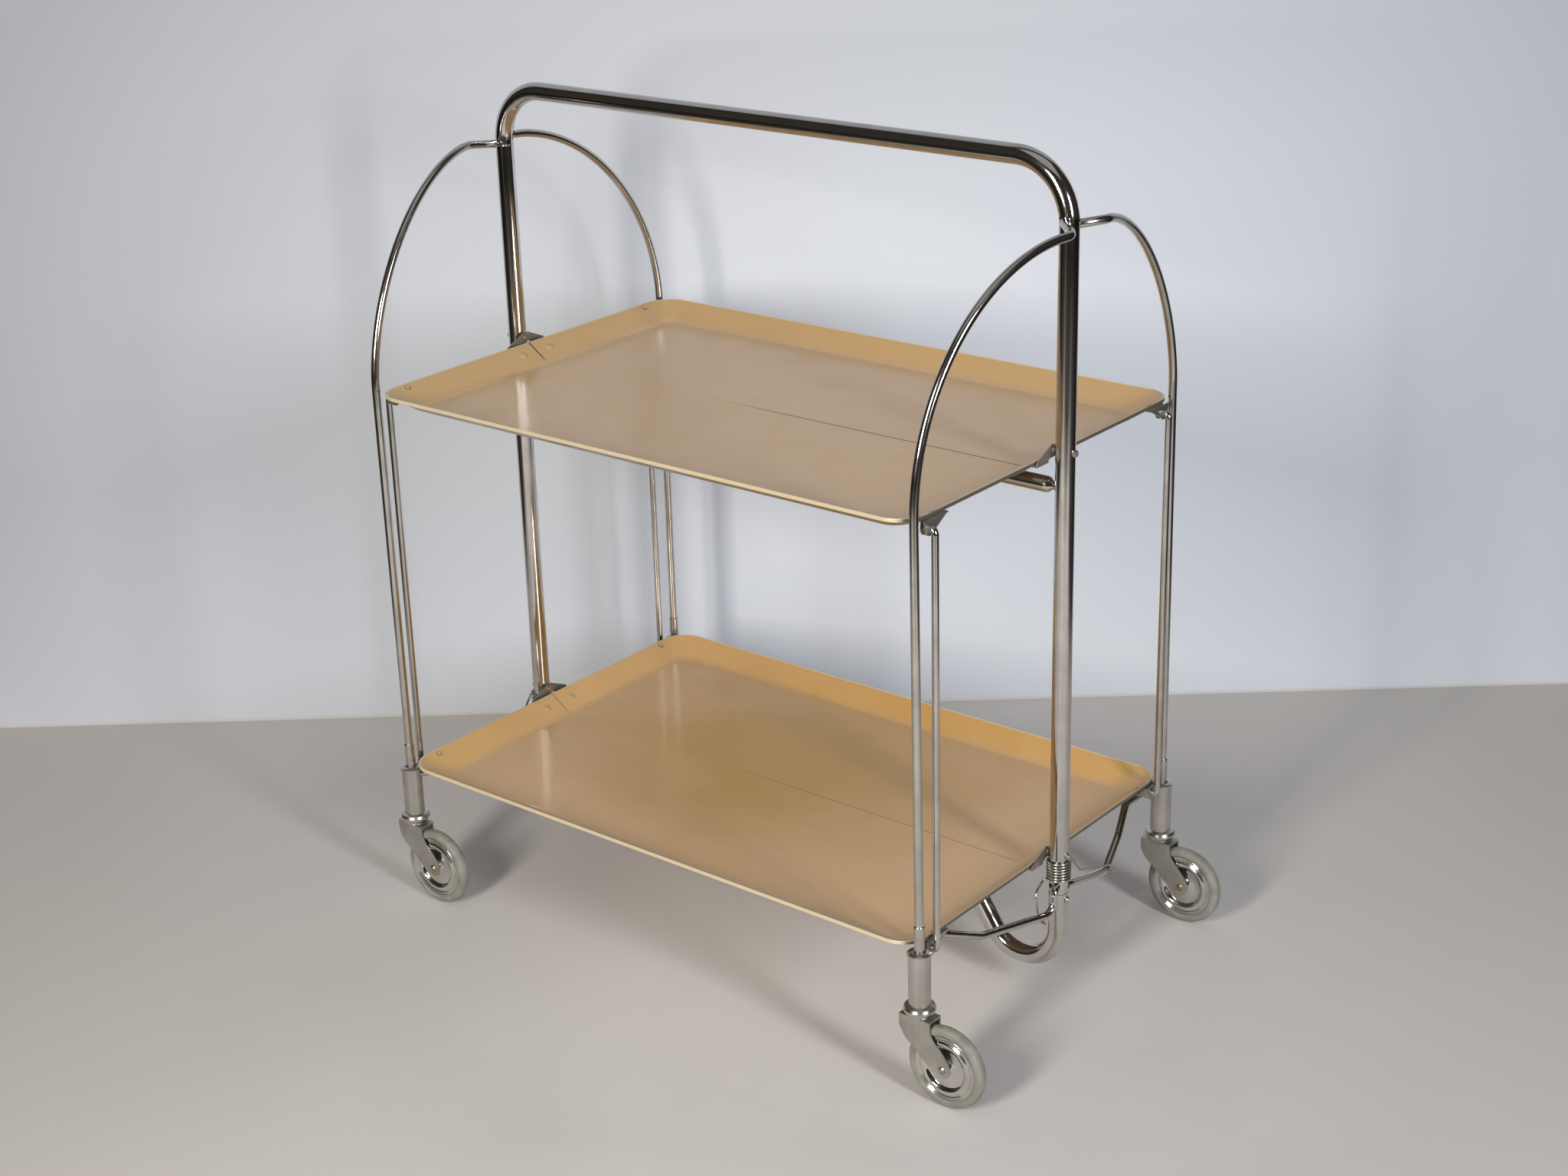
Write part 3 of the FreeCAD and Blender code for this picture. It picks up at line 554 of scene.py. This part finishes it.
def leaf_grid(face, side, rim):
    """Each row is the tray's outline drawn in by its inset: straight end, quarter circle, long side, mirrored."""
    inset, height = face.T[:, :, None]
    radius, x_end, y_side = CORNER - inset * TIGHTEN / RUN, HALF_L - inset, HALF_W - inset
    turn, out, back = np.linspace(0, math.pi / 2, 17), np.arange(8) / 8, np.arange(1, 12) / 11
    x = np.hstack([x_end + 0 * out, x_end - radius + radius * np.cos(turn), (x_end - radius) * (1 - back)])
    y = np.hstack([SPLIT + (y_side - radius - SPLIT) * out, y_side - radius + radius * np.sin(turn),
                   y_side + 0 * back])
    x, y = np.hstack([x, -x[:, -2::-1]]), np.hstack([y, y[:, -2::-1]])
    return np.stack([x, side * y, rim + height + 0 * x], axis=-1)


print("points in the upper face of a leaf:", leaf_grid(SECTIONS[0], 1, 0.0)[..., 0].size)

# %% [markdown]
# ## Closing the leaf
# Two faces one sheet apart aren't a solid yet. Each gets its floor, the sheet's thickness is
# closed along the split, and a narrow strip is turned down below it, which keeps a thin
# floor from sagging. The faces meet under the lip, where the merge in `add` joins them.

# %% Four pressed leaves
STRIP, STRIP_IN, STRIP_SINK = 2.2, 3.0, 0.3    # strip's depth, its end's inset, and how far it enters the floor


def closing_faces(rows_up, rows_low, around):
    """Faces over both floors, over the sheet's edge at both ends of the split, and along it between them."""
    base, top, low = rows_up * around, (rows_up - 1) * around, (rows_up + rows_low - 1) * around
    floors = [list(range(top, top + around)), list(range(low, low + around))]
    ends = [[i * around + column for i in range(rows_up)]
            + [base + i * around + column for i in range(rows_low - 1, 0, -1)] for column in (0, around - 1)]
    return floors + ends + [[top, top + around - 1, low + around - 1, low]]


def stiffening_strip(side, floor):
    """A box as two rings of four corners, closed at both ends."""
    half, edges = HALF_L - RUN - STRIP_IN, (side * SPLIT, side * (SPLIT + SHEET))
    down, up = floor - STRIP, floor + STRIP_SINK
    ring = [(edges[0], down), (edges[1], down), (edges[1], up), (edges[0], up)]
    points = [(x, y, z) for x in (-half, half) for y, z in ring]
    return np.array(points), grid_faces(2, 4) + [[0, 1, 2, 3], [4, 5, 6, 7]]


def leaf(tier, side_name):
    """Upper face, lower face and strip as one piece."""
    side, rim = SIDES[side_name], TIERS[tier]
    grids = [leaf_grid(face, side, rim) for face in SECTIONS]
    around = grids[0].shape[1]
    faces = [(grid.reshape(-1, 3), grid_faces(len(grid), around, closed=False)) for grid in grids]
    points, quads = together(*faces)
    quads += closing_faces(len(grids[0]), len(grids[1]), around)
    points, quads = together((points, quads), stiffening_strip(side, rim - DEPTH - SHEET))
    name = tier + "_" + side_name
    return add("pressed_leaf_" + name, points, quads, ENAMEL[tier], tier + "_leaf_" + side_name,
               ["leaf_" + name], "tray_enamel", 50.0)


for tier in TIERS:
    for side_name in SIDES:
        print(leaf(tier, side_name).name, "made")

# %% [markdown]
# ## Bends with true arcs
# Spring wire is bent round pins, so its corners are arcs of a known radius. The arc's centre
# lies on the line that halves the corner, where it touches both straight runs.


# %% Bent wire
def bent(points, radii, steps=7):
    """Arc centre = corner + bisector * radius / sin(half the corner); the arc spans what the line turns."""
    points, radius = np.array(points, float), np.array(radii, float)[:, None]
    corner = points[1:-1]
    u, w = points[:-2] - corner, points[2:] - corner
    u, w = u / np.linalg.norm(u, axis=1, keepdims=True), w / np.linalg.norm(w, axis=1, keepdims=True)
    half = np.arccos((u * w).sum(axis=1, keepdims=True)) / 2
    bisector = (u + w) / np.linalg.norm(u + w, axis=1, keepdims=True)
    across_turn = (w - u) / np.linalg.norm(w - u, axis=1, keepdims=True)
    centre = corner + bisector * radius / np.sin(half)
    angle = ((math.pi / 2 - half) * np.linspace(-1, 1, steps))[:, :, None]
    arcs = centre[:, None] + radius[:, :, None] * (across_turn[:, None] * np.sin(angle)
                                                   - bisector[:, None] * np.cos(angle))
    return np.vstack([points[:1], arcs.reshape(-1, 3), points[-1:]])


print("a wire with one bend has", len(bent([(0, 0, 0), (9, 0, 0), (9, 9, 0)], [2.0])), "stations")

# %% [markdown]
# ## Torsion springs
# A spring sits round each post's foot and pushes both legs out. It is one wire: a coil of
# six and a half turns, and two arms that leave it on a tangent and hook round the two stays.
# A Screw modifier could wind the coil, but then the arms wouldn't be the same wire. Here
# coil and arms are one line, and the section is carried along it.

# %% Two springs
POST = 312.0                                   # the posts' distance from the hoop's middle
COIL, WIRE, PITCH, TURNS, COIL_FOOT = 10.0, 1.05, 2.75, 6.5, 124.2
COIL_START = math.radians(215.0)


def helix(steps=40):
    """x = post + R cos a, y = R sin a, z rises by one pitch with each turn of a."""
    share = np.linspace(0, 1, int(TURNS * steps) + 1)
    angle = COIL_START + share * TURNS * 2 * math.pi
    return np.stack([POST + COIL * np.cos(angle), COIL * np.sin(angle), COIL_FOOT + PITCH * TURNS * share], axis=1)


def spring(end_name):
    """Front arm, coil and rear arm in one line; the far spring is the near one turned half round."""
    coil, finish = helix(), COIL_START + TURNS * 2 * math.pi
    back = np.array([math.sin(COIL_START), -math.cos(COIL_START), 0])
    onward = np.array([-math.sin(finish), math.cos(finish), 0])
    front = [coil[0], coil[0] + back * 6.0, (304.0, -25.0, 117.0), (308.6, -26.5, 92.9), (317.5, -28.5, 92.0)]
    rear = [coil[-1], coil[-1] + onward * 6.0, (314.8, 30.5, 119.5), (312.4, 84.0, 100.4), (311.0, 95.6, 90.0),
            (303.5, 93.5, 85.4)]
    arms = bent(front, [2.5, 8.0, 1.6]), bent(rear, [2.0, 3.0, 5.0, 3.0])
    points, faces = tube(np.vstack([arms[0][::-1][:-1], coil, arms[1][1:]]), WIRE, 12)
    turn = ENDS[end_name]
    return add("torsion_" + end_name, points * (turn, turn, 1), faces, wire, "frame", ["spring_" + end_name],
               "spring_wire", 60.0)


for end_name in ENDS:
    print(spring(end_name).name, "wound,", round(TURNS * 2 * math.pi * COIL), "mm of wire in its coil")

# %% [markdown]
# ## Gate legs
# A thin neck leaves the post through its slot and thickens into the rod. The rod is cranked
# outboard, then an arch sweeps round and down into the long leg, which leans a little to
# meet its socket. A hand-drawn curve would do, but a quarter of a superellipse has the same
# calm sweep with one number for its fullness: 2 is an ellipse, and less is flatter.

# %% Measures of the legs
CRANKS = {   # reach outboard and sideways, crank's height, leg's X at the arch's foot, foot's height, fullness
    ("front", "near"): (22.0, 30.0, 707.0, 298.5, 512.0, 2.0),
    ("rear", "near"): (14.0, 33.0, 706.2, 299.0, 526.0, 1.67),
    ("front", "far"): (6.0, 40.0, 709.0, 302.5, 515.0, 1.75),
    ("rear", "far"): (6.8, 14.6, 709.0, 300.2, 511.0, 1.9),
}
NECK_Z = {("front", "near"): 711.0, ("rear", "near"): 705.4, ("front", "far"): 705.4, ("rear", "far"): 711.0}
ROD, NECK, SOCKET_X, LEG_Y = 3.8, 2.1, 301.0, 193.6
LEAVE = np.array([math.cos(math.radians(80)), math.sin(math.radians(80)), 0])   # the neck's way out of the post
EYE = [(2.58, -2.1), (5.6, -2.1), (5.6, 2.1), (2.58, 2.1), (2.58, -2.1)]
NECK_AT, THICK_AT, BEND = (4.8, 9.4), 11.5, 11.0   # neck's stations and the rod's start from the pivot, and its bend
SOCKET_TOP, LEG_END, ARCH_START = 165.0, 110.2, 0.09   # heights on the long leg; first angle of the arch
print("necks leave at", sorted(set(NECK_Z.values())), "mm")


# %% [markdown]
# ## Bending a leg
# The line starts inside the post, and the eye that turns on the hidden pivot is a small
# turned ring round its start. Every leg is bent for the front near corner and mirrored.

# %% Four gate legs
def leg_line(crank, neck_z):
    """Arch: x and y go with sin(a)^(2/n), height falls with 1 - cos(a)^(2/n); the long leg is straight."""
    out, aside, height, leg_x, arch_foot, fullness = crank
    axis, elbow = np.array([POST, 0.0, neck_z]), np.array([POST + out, aside, height])
    foot = np.array([leg_x, LEG_Y, arch_foot])
    quarter = np.linspace(ARCH_START, math.pi / 2, 44)
    sweep = np.sin(quarter) ** (2 / fullness)
    fall = 1 - np.cos(quarter).clip(0) ** (2 / fullness)
    arch = elbow + (foot - elbow) * np.stack([sweep, sweep, fall], axis=1)
    bend = soften([axis + LEAVE * THICK_AT, elbow, arch[0]], BEND, 8)
    down = foot + (np.array([SOCKET_X, LEG_Y, SOCKET_TOP]) - foot) * np.linspace(0.06, 1, 9)[:, None]
    return np.vstack([axis + np.outer(NECK_AT, LEAVE), bend, arch[1:], down, [(SOCKET_X, LEG_Y, LEG_END)]])


def gate_leg(side_name, end_name):
    """Neck and rod as one tube of two thicknesses, with the eye at its start."""
    key = (side_name, end_name)
    line = leg_line(CRANKS[key], NECK_Z[key])
    thickness = np.where(np.arange(len(line)) < len(NECK_AT), NECK, ROD)
    points, faces = together(tube(line, thickness, 16), lathe(EYE, (POST, 0.0, NECK_Z[key]), (0, 0, 1), 32))
    name = side_name + "_" + end_name
    return add("gate_leg_" + name, points * (ENDS[end_name], SIDES[side_name], 1), faces, rod_plate,
               "gate_" + name, ["leg_" + name], "rod_plating", 50.0)


for side_name in SIDES:
    for end_name in ENDS:
        print(gate_leg(side_name, end_name).name, "bent")

# %% [markdown]
# ## Rivets
# Low heads close to the tray's ends hold the brackets, and their shanks stay below. A head
# stands square to the slope it sits on, so each one is turned about the slope's own normal.
# The corner heads are a little smaller than those by the hinge.

# %% Rivet heads
HINGE_Y, HINGE_INSET, CORNER_SIZE = 18.0, 11.0, 0.82
HEAD = np.array([(3.6, 0.02), (3.5, 0.3), (2.6, 0.75), (1.3, 0.95), (0, 1.0)])
SHANK = [(0, -2.6), (1.9, -2.6), (1.9, 0.02)]


def rivets(tier, side_name):
    """Head outlines turned about the normal of the slope, (sin, 0, cos) of its angle, at four places."""
    angle = math.atan2(DEPTH + SHEET, RUN)
    heads = []
    for end in (1, -1):
        for y, inset, size in ((HINGE_Y, HINGE_INSET, 1.0), (CORNER_Y, CORNER_INSET, CORNER_SIZE)):
            foot = (end * (HALF_L - inset), SIDES[side_name] * y, TIERS[tier] + SHEET - inset * math.tan(angle))
            outline = np.vstack([SHANK, HEAD * (size, 1)])
            heads.append(lathe(outline, foot, (-end * math.sin(angle), 0, math.cos(angle)), 32))
    points, faces = together(*heads)
    name = tier + "_" + side_name
    return add("rivet_heads_" + name, points, faces, rivet_paint, tier + "_leaf_" + side_name,
               ["rivets_" + name], "rivet_enamel", 60.0)


for tier in TIERS:
    for side_name in SIDES:
        print(rivets(tier, side_name).name, "set")

# %% [markdown]
# ## Wheels
# The disc is two pressings back to back: a flat dish, a raised wall, a broad rounded ring
# and fine ridges out to the rubber. The tyre is a plain cushion section with rounded
# shoulders. Both are turned parts, so each is half a section, mirrored and then lathed.
# The wheels trail behind their legs, and all four trail towards +X.

# %% Discs and tyres
TRAIL, WHEEL = 28.0, 37.3                      # axle behind the leg, wheel's radius
DISC_FACE = [(2.56, 6.1), (5.2, 6.2), (6.2, 5.6), (7.6, 4.2), (9.5, 3.2), (13.0, 2.6), (17.0, 2.4), (18.6, 2.7),
             (19.6, 3.9), (20.6, 5.0), (22.0, 5.5), (23.6, 5.35), (24.8, 4.6), (25.4, 4.2), (25.9, 4.5), (26.5, 4.9),
             (26.9, 4.6), (27.3, 4.5), (27.8, 4.9), (28.2, 4.65), (28.6, 4.7), (29.1, 5.1), (29.7, 5.0), (29.98, 4.6)]
TYRE_FACE = [(30.02, 4.7), (30.5, 5.2), (31.4, 5.5), (33.4, 5.5), (34.9, 5.15), (36.0, 4.3), (36.75, 3.2),
             (37.15, 1.9), (WHEEL, 0.7)]


def both_faces(face):
    """The softened face, then the same one mirrored and walked back, closed at its start."""
    soft = soften(face, 0.5, 2)
    return np.vstack([soft, soft[::-1] * (1, -1), soft[:1]])


def wheel(side_name, end_name):
    """Disc and tyre lathed about the axle, which lies along Y."""
    name = side_name + "_" + end_name
    centre = (ENDS[end_name] * SOCKET_X + TRAIL, SIDES[side_name] * LEG_Y, WHEEL)
    disc = lathe(both_faces(DISC_FACE), centre, (0, 1, 0), 96)
    tyre = lathe(both_faces(TYRE_FACE), centre, (0, 1, 0), 96)
    return [add("disc_" + name, *disc, disc_plate, "wheel_" + name, ["wheel_disc_" + name], "disc_chrome", 75.0),
            add("rubber_" + name, *tyre, grey_rubber, "wheel_" + name, ["tyre_" + name], "tyre_rubber", 75.0)]


for side_name in SIDES:
    for end_name in ENDS:
        print(*[piece.name for piece in wheel(side_name, end_name)], "turned")

# %% [markdown]
# ## Where the camera stands
# The camera looks down on a near corner from head height. Two level directions follow from
# its view, away from it and across it, and the studio and the lamps are laid out along them.

# %% View directions
CAMERA_AT = Vector((1.32712, -1.64189, 1.17263))
LOOK = Vector((-0.58686, 0.72012, -0.37017)).normalized()
ROLL = math.radians(-1.62)
away = Vector((LOOK.x, LOOK.y, 0)).normalized()
across = Vector((away.y, -away.x, 0))
print("camera", round(CAMERA_AT.length, 2), "m from the part's middle")

# %% [markdown]
# ## Floor and wall
# A pale floor runs back to a wall close behind the trolley, where it turns up in a very
# small cove. Both are one sheet, because a seam would show as a line. The profile is carried
# sideways, just as a roll of studio paper is.

# %% Backdrop sheet
REACH, HEIGHT, COVE, FLOOR_START, HALF_WIDTH = 0.47, 3.0, 0.0015, -4.0, 6.0


def backdrop():
    """Profile: floor, a quarter circle of the cove's radius, and the wall; each point at both sides."""
    angle = np.linspace(0, math.pi / 2, 9)
    distance = np.concatenate([[FLOOR_START], REACH - COVE + COVE * np.sin(angle), [REACH]])[:, None, None]
    up = np.concatenate([[0.0], COVE - COVE * np.cos(angle), [HEIGHT]])[:, None, None]
    side = np.array([-HALF_WIDTH, HALF_WIDTH])[:, None]
    points = np.array(away) * distance + np.array(across) * side + np.array((0, 0, 1)) * up
    mesh = bpy.data.meshes.new("studio")
    mesh.from_pydata(points.reshape(-1, 3).tolist(), [], grid_faces(len(points), 2, closed=False))
    mesh.shade_smooth()
    studio = bpy.data.objects.new("studio", mesh)
    bpy.context.collection.objects.link(studio)
    return studio


studio = backdrop()
print("studio sheet:", len(studio.data.polygons), "strips")

# %% [markdown]
# ## Studio paint
# The floor is a warm light grey, a little cloudy over about 0.45 m. It carries painted light
# under the trolley and painted shade towards its sides. The wall is a cooler grey with a pool
# of painted light behind the trolley, and painted light near the floor. Further out the sheet
# is painted dark as an unlit room, so that polished tubes have something dark to mirror. All of
# that is painted light and shade, so the lamps can stay plain. Seen from its back the sheet is
# clear, and a view from behind isn't blocked.

# %% Paint the sheet
# GLOW is the middle of the pool of light painted on the wall.
GLOW = tuple(across * 0.1 + away * REACH + Vector((0, 0, 0.35)))   # brightest place on the wall


def floor_paint(tree, place, off_middle):
    """Two greys by a noise, painted light within 0.12 to 0.42 m of the middle, painted shade 0.15 to 0.75 m aside."""
    blur = node(tree, "TexNoise", {"Vector": place, "Scale": 1 / 0.45455, "Detail": 5.0, "Roughness": FINE})
    cloud = node(tree, "MapRange", [blur, 0.35, 0.65, 0.0, 1.0])
    ground = node(tree, "Mix", {0: cloud, 6: "#C6C2BD", 7: "#BCB8B3"}, out=2, data_type="RGBA")
    reach = node(tree, "VectorMath", [place], out="Value", operation="LENGTH")
    # Painted light: the floor is lighter under and round the trolley.
    below = node(tree, "MapRange", [reach, 0.12, 0.42, 1.0, 0.0])
    ground = node(tree, "Mix", {0: below, 6: ground, 7: "#D8D3CD"}, out=2, data_type="RGBA")
    # Painted shade: the floor darkens towards its sides.
    aside = node(tree, "MapRange", [off_middle, 0.15, 0.75, 0.0, 1.0])
    return node(tree, "Mix", {0: aside, 6: ground, 7: "#B2AEA8"}, out=2, data_type="RGBA")


def wall_paint(tree, place, height):
    """Painted light: light to dark grey by the distance from the glow, drawn a little flat, and paler near the floor.
    """
    # Painted light: a pool of light behind the trolley, fading to darker grey further off.
    off_glow = node(tree, "VectorMath", [place, GLOW], operation="SUBTRACT")
    oval = node(tree, "VectorMath", [off_glow, (0.85, 0.85, 1.15)], operation="MULTIPLY")
    spread = node(tree, "VectorMath", [oval], out="Value", operation="LENGTH")
    fade = node(tree, "MapRange", [spread, 0.2, 0.9, 0.0, 1.0])
    paint = node(tree, "Mix", {0: fade, 6: "#CDD2D8", 7: "#9DA1A7"}, out=2, data_type="RGBA")
    # Painted light: the wall is paler near the floor.
    low = node(tree, "MapRange", [height, 0.0, 0.28, 0.35, 0.0])
    return node(tree, "Mix", {0: low, 6: paint, 7: "#D9DCE0"}, out=2, data_type="RGBA")


def studio_paint():
    """Floor below, wall above 0.3 to 4 mm, painted dark as an unlit room past the sides and behind the camera, clear
    from its back.
    """
    material, tree, place = start("painted studio", Roughness=0.75)
    height = node(tree, "SeparateXYZ", [place], out="Z")
    sideways = node(tree, "VectorMath", [place, tuple(across)], out="Value", operation="DOT_PRODUCT")
    inward = node(tree, "VectorMath", [place, tuple(away)], out="Value", operation="DOT_PRODUCT")
    off_middle = node(tree, "Math", [sideways], operation="ABSOLUTE")
    wall = node(tree, "MapRange", [height, 0.3 * MM, 4 * MM, 0.0, 1.0])
    paper = node(tree, "Mix", {0: wall, 6: floor_paint(tree, place, off_middle), 7: wall_paint(tree, place, height)},
                 out=2, data_type="RGBA")
    # Painted shade: past the sides and behind the camera the sheet is dark, for the unlit room.
    outside = node(tree, "MapRange", [off_middle, 0.90, 1.15, 0.0, 1.0])
    behind = node(tree, "MapRange", [inward, -1.8, -1.3, 1.0, 0.0])
    beyond = node(tree, "Math", [outside, behind], operation="MAXIMUM")
    colour = node(tree, "Mix", {0: beyond, 6: paper, 7: "#302D29"}, out=2, data_type="RGBA")
    finish_with(tree, Base_Color=colour)
    back = node(tree, "NewGeometry", out="Backfacing")
    clear = node(tree, "BsdfTransparent")
    one_sided = node(tree, "MixShader", [back, tree.nodes["Principled BSDF"].outputs[0], clear])
    tree.links.new(one_sided, tree.nodes["Material Output"].inputs["Surface"])
    return material


studio.data.materials.append(studio_paint())
print("wall", round(REACH, 2), "m behind the part's middle")

# %% [markdown]
# ## Light
# Two tall soft boxes stand left and right of the camera and a weak wide one hangs overhead.
# Their narrow shape matters on this object: on a polished tube a soft box is a thin bright
# line as wide as the box looks, and shadows on floor and wall stay soft.

# %% Soft boxes
LOW, HIGH = Vector((0, 0, 0.0)), Vector((0, 0, 0.3))


def softbox(name, at, to, size, power, colour="#FFFFFF"):
    """An area lamp at a place, turned to look at another."""
    data = bpy.data.lights.new(name, "AREA")
    data.shape = "RECTANGLE"
    data.size, data.size_y = size
    data.energy = power
    data.color = linear(colour)[:3]
    lamp = bpy.data.objects.new(name, data)
    lamp.location = at
    lamp.rotation_euler = (to - at).to_track_quat("-Z", "Y").to_euler()
    bpy.context.collection.objects.link(lamp)
    return lamp


boxes = [
    softbox("left box", CAMERA_AT - across * 1.25 + Vector((0, 0, 0.05)), HIGH, (0.42, 1.0), 52, "#FFF8F0"),
    softbox("right box", CAMERA_AT + across * 1.45, HIGH, (0.36, 1.0), 42, "#F4F7FF"),
    softbox("top box", away * -0.8 + Vector((0, 0, 2.6)), LOW, (2.2, 1.6), 4),
]
print("lamps:", ", ".join("%s %d W" % (box.name, box.data.energy) for box in boxes))

# %% [markdown]
# ## The room around
# Light also comes from all round, a pale grey fill that opens the shadows. Plate and enamel
# would mirror that grey and look flat. So the rays that bounce off polish see a darker,
# warmer room, and all other rays see the fill.

# %% World
world = bpy.data.worlds.new("room")
world.use_nodes = True
bpy.context.scene.world = world
world.node_tree.nodes.remove(world.node_tree.nodes["Background"])
fill = node(world.node_tree, "Background", {"Color": "#C9CCD2", "Strength": 0.48})
mirrored = node(world.node_tree, "Background", {"Color": "#4A4540", "Strength": 0.6})
polish = node(world.node_tree, "LightPath", out="Is Glossy Ray")
seen = node(world.node_tree, "MixShader", [polish, fill, mirrored])
world.node_tree.links.new(seen, world.node_tree.nodes["World Output"].inputs["Surface"])
print("world nodes:", len(world.node_tree.nodes))

# %% [markdown]
# ## Camera
# A camera's matrix is its right, its up and its back, in that order. Up is first square to
# the view and then rolled by a degree and a half, as a hand-held camera is. The lens is a
# little longer than normal, so that the near corner doesn't bulge.

# %% Set the camera
SENSOR, LENS = 36.0, 57.06                     # picture's width behind the lens and focal length, mm


def make_camera():
    """Right = up x back; right and up are turned about the view by the roll."""
    back = -LOOK
    right = Vector((0, 0, 1)).cross(back).normalized()
    up = back.cross(right)
    turned_right = right * math.cos(ROLL) + up * math.sin(ROLL)
    turned_up = up * math.cos(ROLL) - right * math.sin(ROLL)
    data = bpy.data.cameras.new("camera")
    data.sensor_width = SENSOR
    data.lens = LENS
    camera = bpy.data.objects.new("camera", data)
    axes = Matrix((turned_right, turned_up, back)).transposed()
    camera.matrix_world = Matrix.Translation(CAMERA_AT) @ axes.to_4x4()
    bpy.context.collection.objects.link(camera)
    return camera


bpy.context.scene.camera = make_camera()
bpy.context.scene.view_settings.view_transform = "Standard"
print("lens", round(bpy.context.scene.camera.data.lens, 2), "mm")
